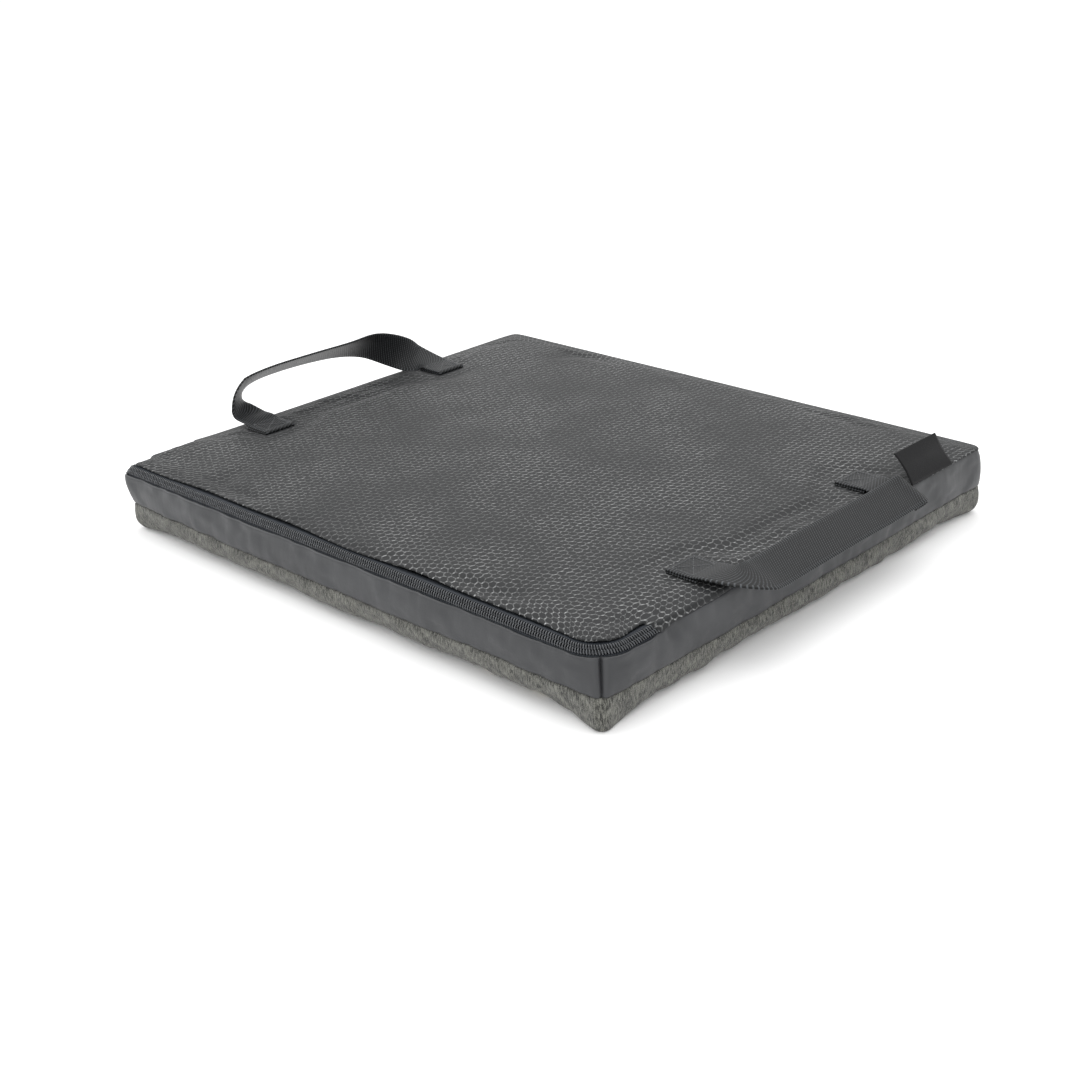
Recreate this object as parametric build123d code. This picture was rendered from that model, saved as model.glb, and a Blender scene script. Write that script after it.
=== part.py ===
from build123d import *
from math import sqrt
import os

# Kneeling pad: a zipped fabric cover round two foam layers, with two webbing carry
# handles and a folded side tag. Millimetres. The origin is at the middle of the face
# that the pad lies on, +X along the zipped front edge, +Y to the back, +Z up.

# Pad
pad_length = 457.0
pad_width = 406.0
pad_thickness = 50.0
corner_radius = 20.0
bottom_edge_radius = 10.0
top_edge_radius = 5.0

# Cover and filling
cover_gauge = 1.2
knit_height = 21.0
top_seam_drop = 4.0
foam_side_gap = 3.0
comfort_layer = 22.0
patch_gauge = 0.8
patch_margin = 3.0

# Zip, laid on a shoulder that slopes at 45 degrees
shoulder = 9.0
zip_return = 55.0
tape_gauge = 0.6
tape_gap = 0.05
tape_margin = 6.0
chain_width = 6.2
coil_height = 1.8
coil_slot = 1.0
zip_end_gap = 0.1
stop_length = 2.6
stop_height = 2.2

# Slider and puller
slider_length = 11.0
slider_wide_end = 9.4
slider_narrow_end = 8.4
slider_wall = 0.9
slider_clearance = 0.25
post_width = 0.6
post_length = 2.5
bridge_length = 6.4
bridge_width = 1.6
bridge_wall = 0.8
pin_radius = 0.5
puller_length = 21.0
puller_width = 5.6
puller_gauge = 1.0
puller_slot_length = 5.0
puller_slot_width = 1.8
eye_length = 3.7
eye_width = 2.4

# Handles, of one webbing
webbing_width = 27.0
webbing_gauge = 1.6
tab_spacing = 176.0
tab_inner_edge = 40.0
handle_pivot_inset = 14.0
strap_overrun = 0.5
hinge_clearance = 0.3
stitch_inset = 3.0
thread_width = 0.7
thread_height = 0.35

# Side tag
tag_length = 52.0
tag_height = 24.5
tag_gauge = 1.0
tag_centre_y = 134.0
tag_lean = 39.0

# Stations of each handle, from its front tab to its rear one: how far the middle of the
# webbing is outside the pad's side, how far back it is (from the front tab's middle in
# the first list, the pad's middle in the second and the rear tab's in the third), how
# high it is above the pad's top, and the way from the webbing's inner edge to its outer
# one, as (outwards, backwards, up).
raised_stations = [
    (-5.0, -0.3, 4.6, (-0.03, -1.0, 0.03)),
    (4.0, -1.5, 7.5, (-0.15, -0.97, 0.12)),
    (8.5, -4.5, 13.0, (-0.38, -0.84, 0.38)),
    (10.0, 2.5, 21.5, (-0.60, -0.60, 0.50)),
    (10.5, 18.0, 27.0, (-0.78, -0.25, 0.55)),
]
raised_middle = [
    (10.5, -42.0, 28.8, (-0.84, 0.0, 0.54)),
    (10.0, -2.0, 28.2, (-0.83, 0.0, 0.56)),
    (9.0, 24.0, 26.9, (-0.75, 0.0, 0.66)),
]
raised_end = [
    (7.5, -42.0, 23.7, (-0.50, 0.05, 0.86)),
    (4.5, -29.0, 18.5, (-0.25, 0.20, 0.93)),
    (0.0, -17.0, 12.5, (-0.05, 0.60, 0.80)),
    (-6.0, -7.0, 7.2, (0.05, 0.96, 0.25)),
]
draped_stations = [
    (-4.0, 1.0, 4.4, (0.15, -0.99, 0.0)),
    (4.5, 6.0, 3.8, (0.60, -0.79, -0.10)),
    (6.5, 20.0, 0.6, (0.91, -0.20, -0.36)),
    (4.6, 41.0, -1.1, (0.89, -0.05, -0.45)),
]
draped_middle = [
    (2.8, 0.0, -1.6, (0.885, 0.0, -0.466)),
    (2.2, 32.0, -1.7, (0.885, 0.0, -0.466)),
]
draped_end = [
    (2.0, -18.0, -1.8, (0.885, 0.0, -0.466)),
    (2.5, -3.0, -0.8, (0.86, 0.30, -0.40)),
    (2.0, 7.0, 2.2, (0.60, 0.78, -0.15)),
    (-5.0, 2.5, 4.2, (0.15, 0.98, 0.0)),
]

# Places worked out from the dimensions
half_length = pad_length / 2
half_width = pad_width / 2
top_seam_z = pad_thickness - top_seam_drop
patch_top_z = pad_thickness - cover_gauge
foam_top_z = patch_top_z - patch_gauge
foam_split_z = cover_gauge + comfort_layer
foam_inset = cover_gauge + foam_side_gap
foam_bevel = foam_top_z - pad_thickness + shoulder + foam_inset * (sqrt(2) - 1)
facet_width = shoulder * sqrt(2)
tape_outer = cover_gauge + tape_gap
tape_inner = tape_outer + tape_gauge
coil_bottom = tape_gap - tape_outer
coil_top = coil_bottom + coil_height
coil_run = zip_return - zip_end_gap - stop_length - zip_end_gap
handle_pivot_x = half_length - handle_pivot_inset
tab_top_z = pad_thickness + 2 * webbing_gauge
handle_pivot_z = tab_top_z + webbing_gauge / 2
strap_end_sweep = sqrt(strap_overrun**2 + (webbing_gauge / 2) ** 2)
tab_outer_edge = handle_pivot_inset + strap_end_sweep + hinge_clearance
tab_reach = tab_inner_edge - tab_outer_edge
tab_centres_y = (-tab_spacing / 2, tab_spacing / 2)


def facet_point(along, out):
    """A point of the zip's cross-section, as (outwards, up): along runs down the sloping
    shoulder from its top edge, and out stands square to it."""
    return (
        -shoulder + (along + out) / sqrt(2),
        pad_thickness + (out - along) / sqrt(2),
    )


def zip_path(return_length):
    """The zip's line round the front: up the left side, along the front, up the right."""
    return_y = return_length - half_width
    return FilletPolyline(
        (-half_length, return_y),
        (-half_length, -half_width),
        (half_length, -half_width),
        (half_length, return_y),
        radius=corner_radius,
    )


def along_zip(section, return_length):
    """A closed cross-section, given as (outwards, up) points, carried along the zip."""
    start = Plane(
        origin=(-half_length, return_length - half_width, 0),
        x_dir=(-1, 0, 0),
        z_dir=(0, 1, 0),
    )
    outline = start * make_face(Polyline(*section, close=True))
    return sweep(outline, path=zip_path(return_length))


def pad_block(side, floor, ceiling, depth):
    """The pad's form moved in by side, floor and ceiling, with the shoulder that carries
    the zip cut off at depth below its slope."""
    height = pad_thickness - floor - ceiling
    plan = RectangleRounded(
        pad_length - 2 * side, pad_width - 2 * side, corner_radius - side
    )
    block = extrude(Pos(0, 0, floor) * plan, height)
    bottom = block.faces().sort_by(Axis.Z)[0].edges()
    block = fillet(bottom, bottom_edge_radius - floor)
    top = block.faces().sort_by(Axis.Z)[-1].edges()
    block = fillet(top, top_edge_radius - ceiling)
    beyond = 1.0
    slope = pad_thickness - shoulder - depth * sqrt(2)
    cut = [
        (slope - pad_thickness - beyond, pad_thickness + beyond),
        (beyond, slope - beyond),
        (beyond, pad_thickness + beyond),
    ]
    return block - along_zip(cut, zip_return + depth)


def slab(low, high):
    """Everything between two heights."""
    middle = (low + high) / 2
    return Pos(0, 0, middle) * Box(2 * pad_length, 2 * pad_width, high - low)


def cover_shell():
    """The whole cover as one wall, open along the sloping shoulder where the zip lies."""
    outside = pad_block(0, 0, 0, 0)
    inside = pad_block(cover_gauge, cover_gauge, cover_gauge, cover_gauge)
    opening = [
        facet_point(0, 1),
        facet_point(facet_width, 1),
        facet_point(facet_width, -2 * cover_gauge),
        facet_point(0, -2 * cover_gauge),
    ]
    return outside - inside - along_zip(opening, zip_return)


def band_wedge(turn, half_run, half_depth):
    """The space that holds one side of the pad, cut at 45 degrees through its corners."""
    depth = 2 * corner_radius
    beyond = 2.0
    outline = make_face(
        Polyline(
            (-half_run - beyond, -half_depth - beyond),
            (half_run + beyond, -half_depth - beyond),
            (half_run + beyond - depth, -half_depth - beyond + depth),
            (-half_run - beyond + depth, -half_depth - beyond + depth),
            close=True,
        )
    )
    return Rot(0, 0, turn) * extrude(outline, pad_thickness)


def cover_pieces():
    """The cover cut along its seams: panel, four bands and the boxed knit piece."""
    shell = cover_shell()
    ring = shell & slab(knit_height, top_seam_z)
    return {
        "non_slip_top_panel": shell & slab(top_seam_z, 2 * pad_thickness),
        "front_band": ring & band_wedge(0, half_length, half_width),
        "right_band": ring & band_wedge(90, half_width, half_length),
        "back_band": ring & band_wedge(180, half_length, half_width),
        "left_band": ring & band_wedge(270, half_width, half_length),
        "knit_cover": shell & slab(-pad_thickness, knit_height),
    }


def foam_layers():
    """The comfort layer at the bottom and the firm layer under the non-slip panel. The
    firm layer's top edge is bevelled all round, which leaves the room that the zip needs
    on the front and keeps the layer the same from every side."""
    plan = RectangleRounded(
        pad_length - 2 * foam_inset, pad_width - 2 * foam_inset, corner_radius - foam_inset
    )
    core = extrude(Pos(0, 0, cover_gauge) * plan, foam_top_z - cover_gauge)
    bottom = core.faces().sort_by(Axis.Z)[0].edges()
    core = fillet(bottom, bottom_edge_radius - cover_gauge)
    top = core.faces().sort_by(Axis.Z)[-1].edges()
    core = chamfer(top, foam_bevel)
    return {
        "comfort_foam_layer": core & slab(0, foam_split_z),
        "firm_foam_layer": core & slab(foam_split_z, pad_thickness),
    }


def zip_tape(upper):
    """One zip tape: its free edge by the coils, its sewn edge folded inside the cover."""
    middle = facet_width / 2
    outer_fold = tape_outer * (sqrt(2) - 1)
    inner_fold = tape_inner * (sqrt(2) - 1)
    if upper:
        edge = middle - coil_slot / 2
        section = [
            (-shoulder - tape_margin, pad_thickness - tape_outer),
            (-shoulder - outer_fold, pad_thickness - tape_outer),
            facet_point(edge, -tape_outer),
            facet_point(edge, -tape_inner),
            (-shoulder - inner_fold, pad_thickness - tape_inner),
            (-shoulder - tape_margin, pad_thickness - tape_inner),
        ]
    else:
        edge = middle + coil_slot / 2
        section = [
            facet_point(edge, -tape_outer),
            (-tape_outer, pad_thickness - shoulder - outer_fold),
            (-tape_outer, pad_thickness - shoulder - tape_margin),
            (-tape_inner, pad_thickness - shoulder - tape_margin),
            (-tape_inner, pad_thickness - shoulder - inner_fold),
            facet_point(edge, -tape_inner),
        ]
    return along_zip(section, zip_return - zip_end_gap)


def zip_coil(side):
    """One row of coil teeth as a bar, above (-1) or below (+1) the slider's slot."""
    near = facet_width / 2 + side * coil_slot / 2
    far = facet_width / 2 + side * chain_width / 2
    section = [
        facet_point(near, coil_bottom),
        facet_point(far, coil_bottom),
        facet_point(far, coil_top),
        facet_point(near, coil_top),
    ]
    return along_zip(section, coil_run)


def zip_plane(side, y):
    """A plane on the shoulder's middle line at y, on the left (-1) or right (+1) side:
    its x runs forwards, its z stands out of the shoulder."""
    outwards, up = facet_point(facet_width / 2, 0)
    return Plane(
        origin=(side * (half_length + outwards), y, up),
        x_dir=(0, -1, 0),
        z_dir=(side, 0, 1),
    )


def between(low, high):
    """A box from its lowest corner to its highest."""
    size = [b - a for a, b in zip(low, high)]
    middle = [(a + b) / 2 for a, b in zip(low, high)]
    return Pos(*middle) * Box(*size)


def zip_stops():
    """Two top stops, one on each coil's left end, and one bottom stop across the right."""
    y = zip_return - half_width - zip_end_gap - stop_length / 2
    half = stop_length / 2
    top = coil_bottom + stop_height
    left = zip_plane(-1, y)
    low_stop = between((-half, -chain_width / 2, coil_bottom), (half, -coil_slot / 2, top))
    high_stop = between((-half, coil_slot / 2, coil_bottom), (half, chain_width / 2, top))
    bridge = between(
        (-half, -chain_width / 2, coil_bottom), (half, chain_width / 2, top)
    )
    return {
        "zip_top_stops": Compound([left * softened(low_stop), left * softened(high_stop)]),
        "zip_bottom_stop": zip_plane(1, y) * softened(bridge),
    }


def softened(solid, radius=0.4):
    """A small solid with the edges of its outer face rounded."""
    return fillet(solid.faces().sort_by(Axis.Z)[-1].edges(), radius)


def slider_plate(low, high):
    """One plate of the slider: wide at the end that leads as the zip closes."""
    back = -slider_length / 2
    front = slider_length / 2
    waist = 1.0
    outline = make_face(
        Polyline(
            (back, -slider_wide_end / 2),
            (-waist, -slider_wide_end / 2),
            (waist, -slider_narrow_end / 2),
            (front, -slider_narrow_end / 2),
            (front, slider_narrow_end / 2),
            (waist, slider_narrow_end / 2),
            (-waist, slider_wide_end / 2),
            (back, slider_wide_end / 2),
            close=True,
        )
    )
    plate = extrude(Pos(0, 0, low) * outline, high - low)
    return fillet(plate.edges().filter_by(Axis.Z), 0.9)


def zip_slider():
    """The slider: two plates joined by a post that runs in the slot between the coils,
    side walls that guide the coils, and a bridge that holds the puller."""
    bottom = -tape_inner - slider_clearance
    top = coil_top + slider_clearance
    walls_from = -tape_outer + slider_clearance
    channel = chain_width / 2 + slider_clearance
    reach = slider_length
    body = slider_plate(bottom - slider_wall, top + slider_wall)
    body = softened(body)
    body -= between((-reach, -channel, bottom), (reach, channel, top))
    body -= between((-reach, -reach, bottom), (reach, reach, walls_from))
    post_back = slider_wall - slider_length / 2
    body += between(
        (post_back, -post_width / 2, bottom - slider_wall / 2),
        (post_back + post_length, post_width / 2, top + slider_wall / 2),
    )
    bridge_top = top + slider_wall + 2 * (pin_radius + slider_clearance) + bridge_wall
    bridge = between(
        (-bridge_length / 2, -bridge_width / 2, top + slider_wall / 2),
        (bridge_length / 2, bridge_width / 2, bridge_top),
    )
    bridge = fillet(bridge.faces().sort_by(Axis.Z)[-1].edges().filter_by(Axis.Y), 1.0)
    bridge -= between(
        (-bridge_length / 2 + bridge_wall, -bridge_width, top + slider_wall),
        (bridge_length / 2 - bridge_wall, bridge_width, bridge_top - bridge_wall),
    )
    return zip_plane(-1, slider_y()) * (body + bridge)


def slider_y():
    """Where the slider's middle is when the zip is shut: against the top stops."""
    stops_end = zip_return - half_width - 2 * zip_end_gap - stop_length
    return stops_end - hinge_clearance - slider_length / 2


def puller_axis_height():
    """How far the puller's pin stands out of the shoulder."""
    return coil_top + 2 * slider_clearance + slider_wall + pin_radius


def zip_puller():
    """The puller: a cross pin under the slider's bridge, two arms and a slotted tab."""
    half_gauge = puller_gauge / 2
    tab = between(
        (0, -puller_width / 2, -half_gauge),
        (puller_length, puller_width / 2, half_gauge),
    )
    far_corners = tab.edges().filter_by(Axis.Z).group_by(Axis.X)[-1]
    tab = fillet(far_corners, puller_width / 3)
    tab -= between(
        (-eye_length, -eye_width / 2, -puller_gauge),
        (eye_length, eye_width / 2, puller_gauge),
    )
    slot_end = puller_length - puller_slot_width
    tab -= between(
        (slot_end - puller_slot_length, -puller_slot_width / 2, -puller_gauge),
        (slot_end, puller_slot_width / 2, puller_gauge),
    )
    pin = Rot(90, 0, 0) * Cylinder(pin_radius, puller_width)
    lifted = Pos(0, 0, puller_axis_height())
    return zip_plane(-1, slider_y()) * (lifted * (tab + pin))


def handle_tab(side, y):
    """A sewn webbing end, folded under itself, flat on the panel."""
    inner_x = side * (half_length - tab_inner_edge)
    outer_x = side * (half_length - tab_outer_edge)
    tab = between(
        (min(inner_x, outer_x), y - webbing_width / 2, pad_thickness),
        (max(inner_x, outer_x), y + webbing_width / 2, tab_top_z),
    )
    fold = tab.edges().filter_by(Axis.Y).group_by(Axis.X)[0 if side > 0 else -1]
    return fillet(fold, 0.9 * webbing_gauge)


def tab_stitching(side, y):
    """The thread on one tab: a box of stitches with a cross in it."""
    middle_x = side * (half_length - (tab_inner_edge + tab_outer_edge) / 2)
    run_x = tab_reach - 2 * stitch_inset
    run_y = webbing_width - 2 * stitch_inset
    frame = Rectangle(run_x, run_y) - Rectangle(
        run_x - 2 * thread_width, run_y - 2 * thread_width
    )
    corners = [(-run_x / 2, -run_y / 2), (run_x / 2, run_y / 2)]
    diagonal = Line(*corners)
    stroke = Rectangle(diagonal.length - thread_width, thread_width)
    angle = Vector(1, 0).get_angle(Vector(run_x, run_y))
    cross = Rot(0, 0, angle) * stroke + Rot(0, 0, -angle) * stroke
    outline = frame + cross
    return Pos(middle_x, y, tab_top_z) * extrude(outline, thread_height)


def backing_patch(side, y):
    """The patch inside the cover that a tab is sewn through to."""
    middle_x = side * (half_length - (tab_inner_edge + tab_outer_edge) / 2)
    size_x = tab_reach + 2 * patch_margin
    size_y = webbing_width + 2 * patch_margin
    middle_z = patch_top_z - patch_gauge / 2
    return Pos(middle_x, y, middle_z) * Box(size_x, size_y, patch_gauge)


def webbing_corners(middle, across, forward):
    """The four corners of the webbing's cross-section at one station."""
    across = across.normalized()
    normal = forward.cross(across).normalized()
    half_across = across * (webbing_width / 2)
    half_normal = normal * (webbing_gauge / 2)
    return [
        middle - half_across - half_normal,
        middle + half_across - half_normal,
        middle + half_across + half_normal,
        middle - half_across + half_normal,
    ]


def split_quad(first, second, third, fourth, crease_from_first):
    """A four-cornered patch as two flat triangles, creased along one diagonal."""
    if crease_from_first:
        halves = [(first, second, third), (first, third, fourth)]
    else:
        halves = [(first, second, fourth), (second, third, fourth)]
    return [Face(Wire.make_polygon(half, close=True)) for half in halves]


def folded_ribbon(rings):
    """A closed solid through rings of four corners. Each stretch between two rings has
    its crease along the same diagonal on both of its broad faces."""
    first, last = rings[0], rings[-1]
    faces = split_quad(first[3], first[2], first[1], first[0], True)
    faces += split_quad(*last, True)
    for here, there in zip(rings, rings[1:]):
        for corner in range(4):
            following = (corner + 1) % 4
            faces += split_quad(
                here[corner],
                here[following],
                there[following],
                there[corner],
                corner < 2,
            )
    return Solid(Shell(faces))


def handle_strap(side, first, middle, last):
    """A handle's free loop of webbing, from the hinge at one tab to the other's."""
    exit_height = handle_pivot_z - pad_thickness
    exit_outward = -handle_pivot_inset - strap_overrun
    stations = [(exit_outward, tab_centres_y[0], exit_height, (0, -1, 0))]
    for outward, y, height, way in first:
        stations.append((outward, tab_centres_y[0] + y, height, way))
    stations += middle
    for outward, y, height, way in last:
        stations.append((outward, tab_centres_y[1] + y, height, way))
    stations.append((exit_outward, tab_centres_y[1], exit_height, (0, 1, 0)))
    points = []
    for outward, y, height, way in stations:
        points.append(Vector(side * (half_length + outward), y, pad_thickness + height))
    rings = []
    for index, station in enumerate(stations):
        across = Vector(side * station[3][0], station[3][1], station[3][2])
        if index == 0:
            forward = Vector(side, 0, 0)
        elif index == len(stations) - 1:
            forward = Vector(-side, 0, 0)
        else:
            forward = points[index + 1] - points[index - 1]
        rings.append(webbing_corners(points[index], across, forward))
    return folded_ribbon(rings)


def side_tag():
    """The blank tag: a folded ribbon whose foot lies on the rounded edge of the panel."""
    stand_off = (top_edge_radius + hinge_clearance + tag_gauge / 2) / sqrt(2)
    foot_x = half_length - top_edge_radius + stand_off
    foot_z = pad_thickness - top_edge_radius + stand_off
    sheet = between(
        (-tag_gauge / 2, -tag_length / 2, 0),
        (tag_gauge / 2, tag_length / 2, tag_height),
    )
    foot = Rot(90, 0, 0) * Cylinder(tag_gauge / 2, tag_length)
    tag = sheet + foot
    return Pos(foot_x, tag_centre_y, foot_z) * (Rot(0, -tag_lean, 0) * tag)


def handle_pieces(name, side, first, middle, last):
    """Both tabs, their stitching and the loop of one handle."""
    front_y, rear_y = tab_centres_y
    return {
        f"{name}_handle_strap": handle_strap(side, first, middle, last),
        f"{name}_handle_front_tab": handle_tab(side, front_y),
        f"{name}_handle_rear_tab": handle_tab(side, rear_y),
        f"{name}_handle_stitching": Compound(
            [tab_stitching(side, y) for y in tab_centres_y]
        ),
    }


def all_pieces():
    """Every node of the pad, by name."""
    pieces = {}
    pieces.update(foam_layers())
    pieces.update(cover_pieces())
    pieces["zip_upper_tape"] = zip_tape(upper=True)
    pieces["zip_lower_tape"] = zip_tape(upper=False)
    pieces["zip_upper_coil"] = zip_coil(-1)
    pieces["zip_lower_coil"] = zip_coil(1)
    pieces.update(zip_stops())
    pieces["zip_slider"] = zip_slider()
    pieces["zip_puller"] = zip_puller()
    pieces.update(
        handle_pieces("left", -1, raised_stations, raised_middle, raised_end)
    )
    pieces.update(
        handle_pieces("right", 1, draped_stations, draped_middle, draped_end)
    )
    pieces["handle_backing_patches"] = Compound(
        [backing_patch(side, y) for side in (-1, 1) for y in tab_centres_y]
    )
    pieces["side_tag"] = side_tag()
    return pieces


os.makedirs("parts", exist_ok=True)
for node, shape in all_pieces().items():
    export_step(shape, f"parts/{node}.step")
    print(f"{node}: {len(shape.solids())} solids, {shape.volume:.1f} mm3, {shape.is_valid}")
print(f"slider at y {slider_y():.3f}, pin {puller_axis_height():.3f} out of the shoulder")
print(f"handle hinges at x {handle_pivot_x:.3f}, z {handle_pivot_z:.3f}")
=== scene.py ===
"""A foam kneeling pad in a zip-off cover: honeycomb top, coated bands, knitted
underside, two webbing handles and a blank side tag. Lengths are in millimetres until
a mesh is made, and the frame is +X right, -Y front, +Z up."""

import bmesh
import bpy
import numpy as np
from bpy.props import FloatProperty, FloatVectorProperty, PointerProperty
from mathutils import Matrix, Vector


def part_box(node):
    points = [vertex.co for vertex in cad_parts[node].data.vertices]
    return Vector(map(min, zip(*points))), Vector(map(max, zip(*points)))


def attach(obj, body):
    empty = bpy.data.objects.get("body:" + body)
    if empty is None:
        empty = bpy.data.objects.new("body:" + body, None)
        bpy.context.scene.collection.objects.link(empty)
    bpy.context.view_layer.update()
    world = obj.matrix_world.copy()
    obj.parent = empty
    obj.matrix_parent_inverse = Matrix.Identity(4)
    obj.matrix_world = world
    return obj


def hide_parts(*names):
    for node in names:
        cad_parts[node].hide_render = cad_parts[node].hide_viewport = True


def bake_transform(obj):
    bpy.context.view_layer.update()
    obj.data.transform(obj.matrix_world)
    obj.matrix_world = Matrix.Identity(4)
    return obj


bl_info = {
    "name": "Kneeling Pad",
    "version": (1, 0, 0),
    "blender": (4, 5, 0),
    "location": "3D View > Sidebar > Kneeling Pad",
    "description": "Builds a zip-covered foam kneeling pad with webbing handles",
    "category": "Add Mesh",
}

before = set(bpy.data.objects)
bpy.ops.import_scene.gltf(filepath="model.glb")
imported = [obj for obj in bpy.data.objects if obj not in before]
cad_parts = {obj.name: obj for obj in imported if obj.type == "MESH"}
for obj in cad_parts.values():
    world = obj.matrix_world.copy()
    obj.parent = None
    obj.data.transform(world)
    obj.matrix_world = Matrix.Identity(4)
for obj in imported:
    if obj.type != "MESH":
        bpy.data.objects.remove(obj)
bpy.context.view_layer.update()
MM = 1000.0  # millimetres in a metre


def cad(node):
    """The lowest and highest corner of a CAD node, in millimetres."""
    low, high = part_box(node)
    return np.array(low) * MM, np.array(high) * MM


knit_low, knit_high = cad("knit_cover")
panel_low, panel_high = cad("non_slip_top_panel")
HALF_X, HALF_Y = knit_high[0], knit_high[1]
SEAM_Z = knit_high[2] - 0.6
TOP_Z = panel_high[2]
BAND_TOP_Z = cad("front_band")[1][2] + 0.5
ZIP_END_Y = cad("zip_upper_tape")[1][1]
COIL_END_Y = cad("zip_upper_coil")[1][1]
SHOULDER = panel_low[1] - knit_low[1]
# The middle of each handle tab from the pad's middle, and the line its handle turns on.
TAB_X, TAB_Y = 201.0, 88.0
HINGE_X = HALF_X - 14
WEBBING_WIDTH, WEBBING_GAUGE = 27.0, 1.5


# ---------------------------------------------------------------- sizes and colours


def linear(code):
    """An sRGB hex colour as linear RGBA."""
    rgb = np.array([int(code[i : i + 2], 16) for i in (1, 3, 5)]) / 255
    low, high = rgb / 12.92, ((rgb + 0.055) / 1.055) ** 2.4
    return (*np.where(rgb <= 0.04045, low, high).tolist(), 1.0)


def length(name, text, value):
    """A size of the pad in metres, given in millimetres."""
    return FloatProperty(
        name=name,
        description=text,
        default=value / MM,
        min=0.0,
        unit="LENGTH",
        subtype="DISTANCE",
        precision=4,
    )


def colour(name, text, code):
    """A colour of the pad, given as sRGB hex."""
    return FloatVectorProperty(
        name=name,
        description=text,
        default=linear(code),
        size=4,
        min=0.0,
        max=1.0,
        subtype="COLOR",
    )


class PadSizes(bpy.types.PropertyGroup):
    """Sizes of the soft form that a maker would change."""

    crown: length("Crown", "How far the middle of the top stands above its edges", 2.6)
    edge_roll: length("Edge roll", "How far the top rolls down at its edges", 1.9)
    band_bulge: length("Band bulge", "How far the coated bands swell", 1.3)
    ripple: length("Ripple", "Height of the slow ripples in the top", 0.6)
    pucker: length("Pucker", "How far settled cloth may stand off its form", 1.5)
    cell: length("Honeycomb cell", "Honeycomb cell across its flats", 5.4)
    line: length("Honeycomb line", "Width of the raised honeycomb lines", 0.8)
    coil_pitch: length("Coil pitch", "From one loop of the zip coil to the next", 1.9)
    stitch: length("Stitch", "From one stitch of the handle seams to the next", 3.0)


class PadColours(bpy.types.PropertyGroup):
    """Colours of the pad's finishes."""

    cell: colour("Honeycomb cell", "Coated cloth inside the honeycomb", "#1e1f20")
    line: colour("Honeycomb line", "Raised honeycomb lines", "#a0a1a1")
    band: colour("Coated band", "Polyurethane-coated cloth of the bands", "#37383a")
    knit_dark: colour("Knit, dark yarn", "Dark yarn of the heather knit", "#1a1a19")
    knit_light: colour("Knit, light yarn", "Light yarn of the heather knit", "#73736c")
    tape: colour("Zip tape", "Woven tape beside the coil", "#2e3238")
    coil: colour("Zip coil", "Nylon coil", "#37393c")
    metal: colour("Slider enamel", "Enamel on the zip's metal pieces", "#17181a")
    webbing: colour("Webbing", "Handle webbing", "#121314")
    tag: colour("Tag", "Ribbon of the side tag", "#0e0e0f")
    comfort: colour("Comfort foam", "Lower foam layer", "#d8cfb6")
    firm: colour("Firm foam", "Upper foam layer", "#5b5f63")
    floor: colour("Floor", "Studio floor", "#f6f6f6")


def sizes():
    """The pad's sizes, in millimetres."""
    group = bpy.context.scene.pad_sizes
    return {key: getattr(group, key) * MM for key in PadSizes.__annotations__}


def tint(key):
    """One of the pad's colours, linear."""
    return tuple(getattr(bpy.context.scene.pad_colours, key))


# ---------------------------------------------------------------- shape helpers


def smooth(value, low, high):
    """0 below low, 1 above high, and a smooth S between them."""
    t = np.clip((value - low) / (high - low), 0, 1)
    return t * t * (3 - 2 * t)


def unit(vectors):
    """Each vector divided by its length."""
    size = np.linalg.norm(vectors, axis=-1, keepdims=True)
    return vectors / np.maximum(size, 1e-12)


def ripples(x, y):
    """Slow uneven waves between about -1 and 1: the sum of five waves, each
    weight sin(2 pi (x cos a + y sin a) / length + phase) with its own heading a."""
    waves = np.zeros(np.broadcast(x, y).shape)
    for wave_length, heading, phase, weight in (
        (173.0, 0.4, 0.3, 0.34),
        (121.0, 1.9, 2.1, 0.26),
        (83.0, 2.7, 4.0, 0.18),
        (61.0, 1.1, 1.2, 0.13),
        (44.0, 0.1, 5.1, 0.09),
    ):
        turn = (x * np.cos(heading) + y * np.sin(heading)) / wave_length
        waves = waves + weight * np.sin(2 * np.pi * turn + phase)
    return waves


def make_piece(name, points, faces, material, corner_uv=None):
    """A mesh object from points in millimetres and a list of face arrays. corner_uv has
    one (u, v) in millimetres for each face corner, in order."""
    mesh = bpy.data.meshes.new(name)
    lists = []
    for block in faces:
        lists.extend(np.asarray(block).tolist())
    mesh.from_pydata((points.reshape(-1, 3) / MM).tolist(), [], lists)
    if corner_uv is not None:
        layer = mesh.uv_layers.new(name="cut")
        layer.uv.foreach_set("vector", (corner_uv.reshape(-1) / MM).astype(np.float32))
    mesh.polygons.foreach_set("use_smooth", [True] * len(mesh.polygons))
    if material:
        mesh.materials.append(material)
    mesh.update()
    piece = bpy.data.objects.new(name, mesh)
    bpy.context.scene.collection.objects.link(piece)
    return piece


def grid_faces(count_s, count_t, around=False, across=False):
    """Quads of a grid whose point (s, t) is number s * count_t + t, facing ds x dt, and
    each corner's (s, t). around joins the last s to the first, across the last t."""
    s, t = np.meshgrid(
        np.arange(count_s if around else count_s - 1),
        np.arange(count_t if across else count_t - 1),
        indexing="ij",
    )
    s, t = s.ravel(), t.ravel()
    corners_s = np.stack([s, s + 1, s + 1, s], 1)
    corners_t = np.stack([t, t, t + 1, t + 1], 1)
    faces = (corners_s % count_s) * count_t + corners_t % count_t
    return faces, corners_s, corners_t


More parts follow.
